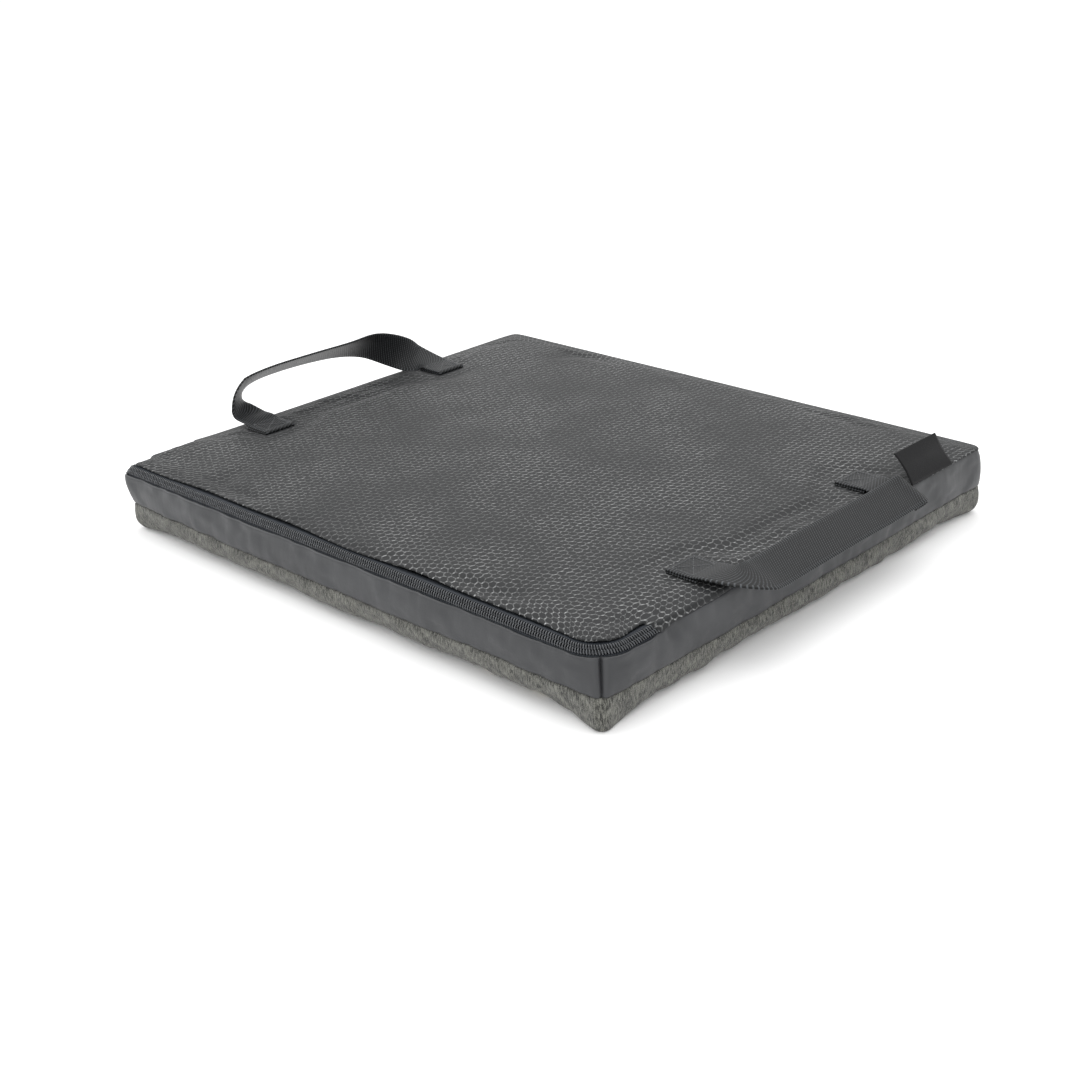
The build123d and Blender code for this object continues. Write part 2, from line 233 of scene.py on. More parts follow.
def surface(name, points, material, uv, around=False, wall=0.8):
    """An open grid of points made a closed cloth wall, its thickness inwards."""
    count_s, count_t = points.shape[:2]
    faces, corners_s, corners_t = grid_faces(count_s, count_t, around)
    piece = make_piece(name, points, [faces], material, uv[corners_s, corners_t])
    if around:
        # The last ring lies doubled along the middle line, and is joined there.
        merged = bmesh.new()
        merged.from_mesh(piece.data)
        bmesh.ops.remove_doubles(merged, verts=merged.verts, dist=0.02 / MM)
        merged.to_mesh(piece.data)
        merged.free()
    if wall:
        solidify = piece.modifiers.new("wall", "SOLIDIFY")
        solidify.thickness = wall / MM
        solidify.offset = -1.0
        solidify.use_rim = True
    return piece


def tube_arrays(path, across, up, section):
    """A closed outline carried along a path: point = path + across * a + up * b for each
    (a, b) of the outline, which runs clockwise seen along the path. Both ends are
    capped. Returns points, faces and the corners' (length along, a)."""
    count_s, count_t = len(path), len(section)
    points = (
        path[:, None]
        + across[:, None] * section[None, :, :1]
        + up[:, None] * section[None, :, 1:]
    )
    faces, corners_s, corners_t = grid_faces(count_s, count_t, across=True)
    step = np.linalg.norm(np.diff(path, axis=0), axis=1)
    along = np.concatenate([[0], np.cumsum(step)])
    uv = np.stack([along[corners_s], section[corners_t % count_t, 0]], -1)
    first = np.arange(count_t)[None, :]
    last = (count_s - 1) * count_t + np.arange(count_t)[::-1][None, :]
    cap_uv = np.stack([np.zeros(count_t), section[:, 0]], -1)
    end_uv = np.stack([np.full(count_t, along[-1]), section[::-1, 0]], -1)
    corner_uv = np.concatenate([uv.reshape(-1, 2), cap_uv, end_uv])
    return points.reshape(-1, 3), [faces, first, last], corner_uv


def tube(name, path, across, up, section, material):
    """One capped tube as a piece."""
    points, faces, corner_uv = tube_arrays(path, across, up, section)
    return make_piece(name, points, faces, material, corner_uv)


def repeat(points, faces, places, along, up):
    """Copies of one small closed shape: each point (a, b, c) goes to place + along * a
    + side * b + up * c, with side square to both."""
    side = np.cross(up, along)
    axes = np.stack([along, side, up], 1)
    spread = places[:, None] + np.einsum("pk,nkd->npd", points, axes)
    shift = np.arange(len(places))[:, None, None] * len(points)
    blocks = [
        (np.asarray(f)[None] + shift).reshape(-1, np.asarray(f).shape[1]) for f in faces
    ]
    return spread.reshape(-1, 3), blocks


def spline(points, spacing, extra):
    """A natural cubic spline through the points, resampled evenly, and the extra
    vectors carried along with it."""
    points = np.asarray(points, float)
    both = np.hstack([points, np.asarray(extra, float)])
    steps = np.linalg.norm(np.diff(points, axis=0), axis=1)
    knots = np.concatenate([[0], np.cumsum(steps)])
    count = len(knots)
    matrix, right = np.eye(count), np.zeros_like(both)
    inner = np.arange(1, count - 1)
    matrix[inner, inner - 1] = steps[:-1]
    matrix[inner, inner] = 2 * (steps[:-1] + steps[1:])
    matrix[inner, inner + 1] = steps[1:]
    slopes = np.diff(both, axis=0) / steps[:, None]
    right[inner] = 6 * np.diff(slopes, axis=0)
    bends = np.linalg.solve(matrix, right)
    at = np.linspace(0, knots[-1], max(8, int(knots[-1] / spacing)))
    i = np.clip(np.searchsorted(knots, at) - 1, 0, count - 2)
    h = steps[i][:, None]
    a = (knots[i + 1] - at)[:, None] / h
    b = 1 - a
    value = a * both[i] + b * both[i + 1]
    value += ((a**3 - a) * bends[i] + (b**3 - b) * bends[i + 1]) * h * h / 6
    return value[:, :3], value[:, 3:]


def squared_to(path, across):
    """The across vectors w made square to the path's direction t: w - t (w . t)."""
    along = unit(np.gradient(path, axis=0))
    return unit(across - along * np.sum(across * along, -1, keepdims=True))


def eased(path, across, half):
    """A ribbon's path and across vectors, changed where it turns so tightly in its own
    plane that an edge would run backwards: there both edges are averaged with their
    neighbours until they run on. The across vectors come back a little short there."""
    edges = np.stack([path - across * half, path + across * half])
    for _ in range(60):
        along = unit(np.gradient(path, axis=0))
        run = np.sum(np.diff(edges, axis=1) * along[None, 1:], -1)
        typical = np.linalg.norm(np.diff(path, axis=0), axis=1)
        tight = np.any(run < 0.3 * typical, axis=0)
        if not tight.any():
            break
        near = np.convolve(tight, np.ones(7), "same") > 0
        near = np.concatenate([near[:1], near[1:] | near[:-1], near[-1:]])
        near[:2] = near[-2:] = False
        mean = (edges[:, :-2] + edges[:, 2:]) / 2
        inside = near[1:-1, None]
        edges[:, 1:-1] = np.where(inside, (edges[:, 1:-1] + mean) / 2, edges[:, 1:-1])
    return edges.mean(0), (edges[1] - edges[0]) / (2 * half)


# ---------------------------------------------------------------- the cushion's form

CORNER_ZONE = 34.0
# The corners in the order the outline passes them: back left, front left, front right,
# back right. Soft radii are the zip's level, sharp radii the floor's.
CORNERS = ((-1, 1), (-1, -1), (1, -1), (1, 1))
FRONT_LEFT, FRONT_RIGHT = 1, 2
SOFT_RADII = (9.0, 8.0, 27.0, 9.0)
SHARP_RADII = (8.0, 8.0, 7.0, 8.0)
SIDE_STEP = 3.2
CORNER_STEPS = 27


def outline(radii):
    """The pad's rounded outline, anticlockwise from the back left corner's middle. Each
    corner is the same share of its arc whatever its radius, so outlines of different
    radii correspond point by point. Returns points, outward normals and lengths."""
    places, normals = [], []
    half = np.array([HALF_X, HALF_Y])
    for k, radius in enumerate(radii):
        corner = np.array(CORNERS[k]) * half
        come = unit(corner - np.array(CORNERS[k - 1]) * half)
        go = unit(np.array(CORNERS[(k + 1) % 4]) * half - corner)
        run = CORNER_ZONE - radius
        total = 2 * run + radius * np.pi / 2
        walked = np.linspace(0, 1, CORNER_STEPS) * total
        turn = np.clip((walked - run) / radius, 0, np.pi / 2)[:, None]
        before = np.minimum(walked - run, 0)[:, None]
        after = np.maximum(walked - run - radius * np.pi / 2, 0)[:, None]
        centre = corner - come * radius + go * radius
        arc = radius * (np.sin(turn) * come - np.cos(turn) * go)
        places.append(centre + arc + before * come + after * go)
        normals.append(np.sin(turn) * come - np.cos(turn) * go)
        start = corner + go * CORNER_ZONE
        stop = np.array(CORNERS[(k + 1) % 4]) * half - go * CORNER_ZONE
        count = int(np.linalg.norm(stop - start) / SIDE_STEP)
        share = (np.arange(1, count) / count)[:, None]
        places.append(start + share * (stop - start))
        normals.append(np.repeat(-np.array([[-go[1], go[0]]]), count - 1, 0))
    middle = CORNER_STEPS // 2
    places = np.roll(np.concatenate(places), -middle, 0)
    normals = np.roll(np.concatenate(normals), -middle, 0)
    steps = np.linalg.norm(places - np.roll(places, 1, 0), axis=1)
    return places, normals, np.cumsum(steps) - steps[0]


soft_outline, outward, walked = outline(SOFT_RADII)
sharp_outline = outline(SHARP_RADII)[0]
# The way from each sample to the middle line, a millimetre deep for each of its own.
inward = -soft_outline
inward[:, 0] += np.clip(soft_outline[:, 0], HALF_Y - HALF_X, HALF_X - HALF_Y)
inward /= -np.sum(inward * outward, -1, keepdims=True)
PERIMETER = walked[-1] + np.linalg.norm(soft_outline[0] - soft_outline[-1])
# The samples at the middles of the corners, where the bands are sewn together.
corner_at = [
    int(np.argmin(np.linalg.norm(soft_outline - np.array(c) * [HALF_X, HALF_Y], axis=1)))
    for c in CORNERS
]
# 1 where the zip runs, 0 where the top is sewn to the bands. At the right end the top
# closes over the zip before the bands do, and hides the coil's end.
early = 13.0 * (soft_outline[:, 0] > 0)
zipped = 1 - smooth(soft_outline[:, 1], ZIP_END_Y - 3, ZIP_END_Y + 10)
top_zipped = 1 - smooth(soft_outline[:, 1] + early, ZIP_END_Y - 3, ZIP_END_Y + 11)
# 1 on the right side just behind the zip, where the top turns farthest down.
turned_down = smooth(soft_outline[:, 1], ZIP_END_Y - 12, ZIP_END_Y + 6)
turned_down *= 1 - smooth(soft_outline[:, 1], -105, -55)
turned_down *= smooth(outward[:, 0], 0.5, 0.95)


GROOVE_REACH = 1.4


def near_corner(k, reach):
    """1 at a corner's middle, falling to 0 along the outline: exp(-(d / reach)^2) at the
    distance d."""
    apart = np.abs(walked - walked[corner_at[k]])
    apart = np.minimum(apart, PERIMETER - apart)
    return np.exp(-((apart / reach) ** 2))


def seam_groove():
    """How far the upright corner seams pull in, from 0 to 1."""
    return sum(near_corner(k, GROOVE_REACH) for k in range(4))


# How far the cloth rises off its plain form once it has settled, by name. Each is a grid
# in millimetres over a sheet's cut, with the cut's size.
settled = {}
CLOTH_FRAMES = 20
# Coated cloth is stiffer than the knit, and rises by this share of what the knit may.
BAND_PUCKER = 0.5


def pressed_sheet(wide, tall, step, ease, held):
    """How far a flat sheet of cloth rises off its plane when it is cut larger than its
    place by the share ease and foam presses on it from behind, found by a cloth
    simulation in which the held points stay still."""
    counts = int(wide / step) + 1, int(tall / step) + 1
    lines = np.linspace(0, wide, counts[0]), np.linspace(0, tall, counts[1])
    u, v = np.meshgrid(*lines, indexing="ij")
    points = np.stack([u, v, 0 * u], -1)
    sheet = make_piece("settling_sheet", points, [grid_faces(*counts)[0]], None)
    group = sheet.vertex_groups.new(name="held")
    group.add(np.flatnonzero(held(u, v).ravel()).tolist(), 1.0, "REPLACE")
    cloth = sheet.modifiers.new("cloth", "CLOTH")
    cloth.settings.quality = 6
    cloth.settings.mass = 0.3
    cloth.settings.bending_stiffness = 0.3
    cloth.settings.vertex_group_mass = "held"
    cloth.settings.use_pressure = True
    cloth.settings.uniform_pressure_force = 0.5
    cloth.settings.shrink_min = -ease
    cloth.settings.effector_weights.gravity = 0
    cloth.point_cache.frame_start, cloth.point_cache.frame_end = 1, CLOTH_FRAMES
    for number in range(1, CLOTH_FRAMES + 1):
        bpy.context.scene.frame_set(number)
    moved = sheet.evaluated_get(bpy.context.evaluated_depsgraph_get()).data
    places = np.empty(points.size)
    moved.vertices.foreach_get("co", places)
    rise = places.reshape(points.shape)[..., 2] * MM
    mesh = sheet.data
    bpy.data.objects.remove(sheet)
    bpy.data.meshes.remove(mesh)
    bpy.context.scene.frame_set(1)
    return rise


def cloth_rise(name, u, v, cap):
    """The settled rise r at (u, v) of a sheet's cut, read between its grid points, and
    eased off as cap tanh(r / cap), so that it never passes the cap."""
    if name not in settled:
        return np.zeros(np.broadcast(u, v).shape)
    grid, (wide, tall) = settled[name]
    a = np.clip(u / wide, 0, 1) * (grid.shape[0] - 1)
    b = np.clip(v / tall, 0, 1) * (grid.shape[1] - 1)
    i = np.minimum(a.astype(int), grid.shape[0] - 2)
    j = np.minimum(b.astype(int), grid.shape[1] - 2)
    a, b = a - i, b - j
    near = grid[i, j] * (1 - a) * (1 - b) + grid[i + 1, j] * a * (1 - b)
    near = near + grid[i, j + 1] * (1 - a) * b + grid[i + 1, j + 1] * a * b
    return cap * np.tanh(near / cap)


TOP_CUT = (2 * (HALF_X - SHOULDER) - 2, 2 * (HALF_Y - SHOULDER) - 2)
WALL_CUT = (PERIMETER, TOP_Z - 4)


def top_held(u, v):
    """Where the top is sewn down: its edges and the four handle tabs."""
    x, y = np.abs(u - TOP_CUT[0] / 2), np.abs(v - TOP_CUT[1] / 2)
    edge = (x > TOP_CUT[0] / 2 - 1) | (y > TOP_CUT[1] / 2 - 1)
    tab = (np.abs(x - (TAB_X + 2)) < 18) & (np.abs(y - TAB_Y) < 16)
    return edge | tab


def wall_held(u, v):
    """Where the walls are sewn: along both edges, the seam between the bands and the
    knit, and the four upright corner seams."""
    corner = sum(np.abs(u - walked[k]) < 3 for k in corner_at) > 0
    edge = (v < 1) | (v > WALL_CUT[1] - 1) | (np.abs(v - SEAM_Z) < 2)
    return edge | corner | (u > WALL_CUT[0] - 2)


def top_height(x, y, size):
    """The top's height: the edge's, a quick rise away from every edge, a slow crown
    towards the middle, ripples, and a dip where each handle is sewn down. The rise and
    the crown are (1 - exp(-dx / r)) (1 - exp(-dy / r)) of the distances dx and dy from
    the edges, with r 7 and 90."""
    edge_x = np.maximum(HALF_X - np.abs(x), 0)
    edge_y = np.maximum(HALF_Y - np.abs(y), 0)
    roll = (1 - np.exp(-edge_x / 7)) * (1 - np.exp(-edge_y / 7))
    crown = (1 - np.exp(-edge_x / 90)) * (1 - np.exp(-edge_y / 90))
    dip = np.exp(-(((np.abs(x) - TAB_X) / 19) ** 2) - ((np.abs(y) - TAB_Y) / 21) ** 2)
    height = TOP_Z - 1.7 + size["edge_roll"] * roll + size["crown"] * crown
    # The zip's parked slider props the top up a little beside it.
    height += 2.7 * np.exp(-(((x + HALF_X - 12) / 14) ** 2) - ((y + 160) / 23) ** 2)
    height += cloth_rise("top", x + TOP_CUT[0] / 2, y + TOP_CUT[1] / 2, size["pucker"])
    return height + size["ripple"] * ripples(x, y) * (0.3 + 0.7 * crown) - 0.7 * dip


def place(out, height, softness):
    """Grid points (s, t): sharp outline * (1 - softness) + soft outline * softness +
    outward direction * out, at the given height."""
    flat = sharp_outline[:, None] * (1 - softness[..., None])
    flat = flat + soft_outline[:, None] * softness[..., None]
    # Beyond 3 mm inwards the points head for the middle line, so corners never fold.
    flat = flat + outward[:, None] * np.maximum(out, -3)[..., None]
    flat = flat + inward[:, None] * np.maximum(-3 - out, 0)[..., None]
    return np.concatenate([flat, height[..., None]], -1)


def rings(edge, shares):
    """Rings from an edge line towards the middle line of the pad: each ring is
    edge + share (middle - edge), with middle the nearest point of that line."""
    middle = np.zeros_like(edge)
    middle[:, 0] = np.clip(edge[:, 0], -(HALF_X - HALF_Y), HALF_X - HALF_Y)
    return edge[:, None] + (middle - edge)[:, None] * shares[None, :, None]


RING_SHARES = np.concatenate(
    [np.arange(1, 15) * 0.006, 0.09 + 0.91 * (np.arange(0, 40) / 39) ** 1.15]
)


def band_top():
    """The bands' top edge: (out, height). Under the zip it stays low, and elsewhere it
    rises to the seam under the top panel."""
    wave = 0.5 * np.sin(walked / 47.0) + 0.3 * np.sin(walked / 19.0 + 1.0)
    high = TOP_Z - 2.2 + 0.4 * wave - 3.0 * turned_down
    low = BAND_TOP_Z + 1.2 + 0.25 * wave
    out = -0.5 * zipped - 1.9 * (1 - zipped)
    return out, low * zipped + high * (1 - zipped)


LEAN, LEAN_REACH = 3.8, 26
LEAN_HEIGHTS = (20, 44)


def lean(height):
    """How far the walls lean in under the zip at the front left corner: the whole lean
    up to the lower height, and none from the upper one."""
    fade = 1 - smooth(height, *LEAN_HEIGHTS)
    return -LEAN * near_corner(FRONT_LEFT, LEAN_REACH)[:, None] * fade


def seam_height():
    """The height of the seam between the bands and the knit."""
    return SEAM_Z + 0.5 * np.sin(walked / 61.0 + 0.6) + 0.25 * np.sin(walked / 23.0)


def floor_roll():
    """How far the knit rolls under before it meets the floor: wide along the front and
    sides, tight at the corners."""
    side_y = smooth(np.abs(outward[:, 1]), 0.2, 0.9)
    front = side_y * (outward[:, 1] < 0)
    roll = 17 + 9 * front + 3.5 * np.sin(walked / 37.0) + 2.5 * np.sin(walked / 17.0)
    roll += 2.2 * np.sin(walked / 4.3) * np.sin(walked / 29.0 + 0.5)
    # The knit is drawn in most along the front just before the front right corner.
    before_corner = walked - walked[corner_at[FRONT_RIGHT]] + 43
    roll += 11 * np.exp(-((before_corner / 13) ** 2))
    tight = np.clip(sum(near_corner(k, r) for k, r in enumerate((30, 22, 24, 30))), 0, 1)
    corner = np.where(near_corner(FRONT_RIGHT, 60) > 0.1, 2.5, 7.0)
    return roll * (1 - tight) + corner * tight


def wall_softness(height):
    """How much the outline follows the soft corners at a height."""
    return smooth(height, 12, BAND_TOP_Z)


# ---------------------------------------------------------------- materials

MATH, MIX, RANGE = "ShaderNodeMath", "ShaderNodeMix", "ShaderNodeMapRange"
VECTOR, NOISE, BUMP = "ShaderNodeVectorMath", "ShaderNodeTexNoise", "ShaderNodeBump"
SPLIT, COORDS, CUT = "ShaderNodeSeparateXYZ", "ShaderNodeTexCoord", "ShaderNodeUVMap"
SHADER, CELLS = "ShaderNodeBsdfPrincipled", "ShaderNodeTexVoronoi"
OUTPUT, WAVE = "ShaderNodeOutputMaterial", "ShaderNodeTexWave"
GEOMETRY = "ShaderNodeNewGeometry"


def add(tree, kind, inputs=None, output=0, **settings):
    """Adds a node, sets its properties, sets or links its inputs, and returns one of
    its outputs, if it has any."""
    made = tree.nodes.new(kind)
    for key, value in settings.items():
        setattr(made, key, value)
    for key, value in (inputs or {}).items():
        if isinstance(value, bpy.types.NodeSocket):
            tree.links.new(value, made.inputs[key])
        else:
            made.inputs[key].default_value = value
    return made.outputs[output] if made.outputs else None


def blank(name):
    """A material without nodes, and its empty tree."""
    material = bpy.data.materials.new(name)
    material.use_nodes = True
    material.node_tree.nodes.clear()
    return material, material.node_tree


def shaded(rgba, share):
    """A linear colour made darker or lighter."""
    return tuple(min(1.0, c * share) for c in rgba[:3]) + (1.0,)


def honeycomb_cloth():
    """Polyester ripstop with a grippy coating: near-black cells with a faint grain, and
    thin pale broken threads along the hexagons, brighter in some patches than others,
    with a painted highlight on one of their three ways, so that the top reads as a
    fine net over black."""
    size = sizes()
    material, tree = blank("Honeycomb_ripstop")
    cut = add(tree, CUT, uv_map="cut")
    at = add(tree, VECTOR, {0: cut, "Scale": MM}, operation="SCALE")
    cell, line = size["cell"], size["line"]
    half = (cell * np.sqrt(3) / 2, cell / 2, 1e6)
    low = tuple(-v for v in half)
    # The hexagons' middles form two lattices of one block, half a block apart.
    near = []
    for shift in ((0, 0, 0), half):
        moved = add(tree, VECTOR, {0: at, 1: shift}, operation="ADD")
        wrapped = add(tree, VECTOR, {0: moved, 1: half, 2: low}, operation="WRAP")
        flat = add(tree, VECTOR, {0: wrapped, 1: (1, 1, 0)}, operation="MULTIPLY")
        apart = add(tree, VECTOR, {0: flat}, "Value", operation="LENGTH")
        near.append((flat, apart))
    (first, first_apart), (second, second_apart) = near
    nearer = add(tree, MATH, {0: second_apart, 1: first_apart}, operation="LESS_THAN")
    chosen = add(tree, MIX, {0: nearer, 4: first, 5: second}, 1, data_type="VECTOR")
    folded = add(tree, VECTOR, {0: chosen}, operation="ABSOLUTE")
    slant = (np.sqrt(3) / 2, 0.5, 0)
    slanted = add(tree, VECTOR, {0: folded, 1: slant}, "Value", operation="DOT_PRODUCT")
    upright = add(tree, SPLIT, {0: folded}, "Y")
    from_middle = add(tree, MATH, {0: slanted, 1: upright}, operation="MAXIMUM")
    wobble = add(tree, NOISE, {"Vector": at, "Scale": 0.45, "Detail": 1.0})
    from_middle = add(
        tree, MATH, {0: wobble, 1: 0.3, 2: from_middle}, operation="MULTIPLY_ADD"
    )
    edge = cell / 2 + 0.15
    band = {0: from_middle, 1: edge - line * 0.75, 2: edge - line * 0.3}
    thread = add(tree, RANGE, band, interpolation_type="SMOOTHSTEP")
    # Of the three ways that the threads run, one is painted brighter than the other two: a
    # painted highlight on the threads that catch the light.
    across = add(tree, SPLIT, {0: chosen}, "X")
    along = add(tree, SPLIT, {0: chosen}, "Y")
    side = add(tree, MATH, {0: across, 1: along}, operation="MULTIPLY")
    sided = add(tree, MATH, {0: side, 1: 0.0}, operation="LESS_THAN")
    leaning = add(tree, MATH, {0: slanted, 1: upright}, operation="GREATER_THAN")
    # The mask of the one way of threads that gets the painted highlight.
    painted_highlight_way = add(tree, MATH, {0: sided, 1: leaning}, operation="MULTIPLY")
    lit = add(tree, RANGE, {0: painted_highlight_way, 3: 0.42, 4: 1.0})
    breaks = add(tree, NOISE, {"Vector": at, "Scale": 0.55, "Detail": 3.0})
    lit_breaks = add(tree, RANGE, {0: breaks, 1: 0.4, 2: 0.64, 3: 0.1, 4: 1.0})
    patches = add(tree, NOISE, {"Vector": at, "Scale": 0.013, "Detail": 3.0})
    lit_patches = add(tree, RANGE, {0: patches, 1: 0.38, 2: 0.62, 3: 0.4, 4: 1.0})
    lit = add(tree, MATH, {0: lit, 1: lit_breaks}, operation="MULTIPLY")
    lit = add(tree, MATH, {0: lit, 1: lit_patches}, operation="MULTIPLY")
    lit = add(tree, MATH, {0: lit, 1: thread}, operation="MULTIPLY")
    grain = add(tree, NOISE, {"Vector": at, "Scale": 1.1, "Detail": 2.0})
    dull = add(
        tree,
        MIX,
        {0: grain, 6: shaded(tint("cell"), 0.55), 7: shaded(tint("cell"), 1.5)},
        2,
        data_type="RGBA",
    )
    shade = add(tree, MIX, {0: lit, 6: dull, 7: tint("line")}, 2, data_type="RGBA")
    rough = add(tree, RANGE, {0: grain, 1: 0.3, 2: 0.7, 3: 0.48, 4: 0.62})
    height = add(tree, MATH, {0: grain, 1: 0.35, 2: thread}, operation="MULTIPLY_ADD")
    bump = add(tree, BUMP, {"Height": height, "Distance": 0.35 / MM, "Strength": 0.8})
    shader = {"Base Color": shade, "Roughness": rough, "Normal": bump}
    shader |= {"Specular IOR Level": 0.2, "Sheen Weight": 0.02}
    add(tree, OUTPUT, {"Surface": add(tree, SHADER, shader)})
    return material


def coated_cloth():
    """Polyurethane-coated polyester, calendered: a smooth neutral grey skin with a faint
    leather grain and a broad soft shine that slow creases break up."""
    material, tree = blank("Polyurethane_coated_cloth")
    cut = add(tree, CUT, uv_map="cut")
    at = add(tree, VECTOR, {0: cut, "Scale": MM}, operation="SCALE")
    clouds = add(tree, NOISE, {"Vector": at, "Scale": 0.018, "Detail": 3.0})
    share = add(tree, RANGE, {0: clouds, 1: 0.35, 2: 0.65})
    colours = {0: share, 6: shaded(tint("band"), 0.8), 7: tint("band")}
    shade = add(tree, MIX, colours, 2, data_type="RGBA")
    patches = add(tree, NOISE, {"Vector": at, "Scale": 0.06, "Detail": 2.0})
    rough = add(tree, RANGE, {0: patches, 1: 0.3, 2: 0.7, 3: 0.4, 4: 0.54})
    grain = add(tree, CELLS, {"Vector": at, "Scale": 1.2}, "Distance")
    # Creases run mostly upright, as the cloth is gathered by the seams above and below.
    drawn = add(tree, VECTOR, {0: at, 1: (1.0, 0.35, 1)}, operation="MULTIPLY")
    creases = add(tree, NOISE, {"Vector": drawn, "Scale": 0.07, "Detail": 2.0})
    height = add(tree, MATH, {0: grain, 1: 0.05, 2: creases}, operation="MULTIPLY_ADD")
    bump = add(tree, BUMP, {"Height": height, "Distance": 1.2 / MM, "Strength": 0.6})
    shader = {"Base Color": shade, "Roughness": rough, "Normal": bump}
    shader |= {"Coat Weight": 0.05, "Coat Roughness": 0.35, "Specular IOR Level": 0.35}
    add(tree, OUTPUT, {"Surface": add(tree, SHADER, shader)})
    return material


def heather_knit():
    """Polyester melange jersey: pale and dark grey yarns in short fine upright streaks,
    matt and slightly fuzzy, over the rows of its knitted loops."""
    material, tree = blank("Melange_knit")
    cut = add(tree, CUT, uv_map="cut")
    at = add(tree, VECTOR, {0: cut, "Scale": MM}, operation="SCALE")
    drawn = add(tree, VECTOR, {0: at, 1: (1.0, 0.14, 1)}, operation="MULTIPLY")
    streak_inputs = {"Vector": drawn, "Scale": 1.5, "Detail": 3.0, "Roughness": 0.65}
    streak = add(tree, NOISE, streak_inputs)
    fleck = add(tree, NOISE, {"Vector": at, "Scale": 1.6, "Detail": 3.0})
    clouds = add(tree, NOISE, {"Vector": at, "Scale": 0.11, "Detail": 3.0})
    mixed = add(tree, MATH, {0: fleck, 1: 0.5, 2: streak}, operation="MULTIPLY_ADD")
    mixed = add(tree, MATH, {0: clouds, 1: 0.3, 2: mixed}, operation="MULTIPLY_ADD")
    share = add(tree, RANGE, {0: mixed, 1: 0.78, 2: 1.04})
    colours = {0: share, 6: tint("knit_dark"), 7: tint("knit_light")}
    shade = add(tree, MIX, colours, 2, data_type="RGBA")
    # The loops are drawn 1.4 mm apart, twice their true size, so that they can be seen.
    around = add(tree, SPLIT, {0: at}, "X")
    upwards = add(tree, SPLIT, {0: at}, "Y")
    turn = add(tree, MATH, {0: around, 1: 4.5}, operation="MULTIPLY")
    rise = add(tree, MATH, {0: upwards, 1: 5.5}, operation="MULTIPLY")
    wale = add(tree, MATH, {0: turn}, operation="SINE")
    course = add(tree, MATH, {0: rise}, operation="SINE")
    loop = add(tree, MATH, {0: wale, 1: course}, operation="MULTIPLY")
    height = add(tree, MATH, {0: loop, 1: 0.3, 2: mixed}, operation="MULTIPLY_ADD")
    bump = add(tree, BUMP, {"Height": height, "Distance": 0.45 / MM, "Strength": 0.9})
    shader = {"Base Color": shade, "Roughness": 0.95, "Normal": bump}
    shader |= {"Sheen Weight": 0.15, "Sheen Roughness": 0.6, "Specular IOR Level": 0.25}
    add(tree, OUTPUT, {"Surface": add(tree, SHADER, shader)})
    return material


def zip_tape_cloth():
    """Woven polyester zip tape: blue-grey, ribbed across, a little shiny where it is
    pulled tight beside the coil."""
    material, tree = blank("Zip_tape_weave")
    cut = add(tree, CUT, uv_map="cut")
    at = add(tree, VECTOR, {0: cut, "Scale": MM}, operation="SCALE")
    along = add(tree, SPLIT, {0: at}, "X")
    across = add(tree, SPLIT, {0: at}, "Y")
    slant = add(tree, MATH, {0: across, 1: 1.1}, operation="PINGPONG")
    turn = add(tree, MATH, {0: along, 1: 4.5, 2: slant}, operation="MULTIPLY_ADD")
    rib = add(tree, MATH, {0: turn}, operation="SINE")
    share = add(tree, RANGE, {0: rib, 1: -1, 2: 1})
    colours = {0: share, 6: shaded(tint("tape"), 0.65), 7: tint("tape")}
    shade = add(tree, MIX, colours, 2, data_type="RGBA")
    bump = add(tree, BUMP, {"Height": share, "Distance": 0.2 / MM, "Strength": 0.7})
    shader = {"Base Color": shade, "Roughness": 0.6, "Normal": bump}
    shader |= {"Specular IOR Level": 0.25}
    add(tree, OUTPUT, {"Surface": add(tree, SHADER, shader)})
    return material


def nylon_coil():
    """Black nylon monofilament, wound and heat set: smooth, with a small sharp glint on
    the crown of each loop."""
    material, tree = blank("Nylon_coil")
    placed = add(tree, COORDS, output="Object")
    at = add(tree, VECTOR, {0: placed, "Scale": MM}, operation="SCALE")
    mottle = add(tree, NOISE, {"Vector": at, "Scale": 0.5, "Detail": 2.0})
    share = add(tree, RANGE, {0: mottle, 1: 0.35, 2: 0.65})
    colours = {0: share, 6: shaded(tint("coil"), 0.6), 7: shaded(tint("coil"), 1.4)}
    shade = add(tree, MIX, colours, 2, data_type="RGBA")
    bump = add(tree, BUMP, {"Height": mottle, "Distance": 0.05 / MM, "Strength": 0.5})
    shader = {"Base Color": shade, "Roughness": 0.24, "IOR": 1.53, "Normal": bump}
    add(tree, OUTPUT, {"Surface": add(tree, SHADER, shader)})
    return material


def enamelled_zinc():
    """Die-cast zinc under black enamel: glossy, slightly uneven, with bare metal
    showing where edges rub."""
    material, tree = blank("Black_enamelled_zinc")
    placed = add(tree, COORDS, output="Object")
    at = add(tree, VECTOR, {0: placed, "Scale": MM}, operation="SCALE")
    edge = add(tree, GEOMETRY, output="Pointiness")
    rub = add(tree, NOISE, {"Vector": at, "Scale": 1.4, "Detail": 3.0})
    worn = add(tree, RANGE, {0: edge, 1: 0.56, 2: 0.66})
    rubbed = add(tree, RANGE, {0: rub, 1: 0.45, 2: 0.65})
    worn = add(tree, MATH, {0: worn, 1: rubbed}, operation="MULTIPLY")
    colours = {0: worn, 6: tint("metal"), 7: linear("#8c8d90")}
    shade = add(tree, MIX, colours, 2, data_type="RGBA")
    bump = add(tree, BUMP, {"Height": rub, "Distance": 0.06 / MM, "Strength": 0.6})
    shader = {"Base Color": shade, "Metallic": worn, "Roughness": 0.28, "Normal": bump}
    add(tree, OUTPUT, {"Surface": add(tree, SHADER, shader)})
    return material


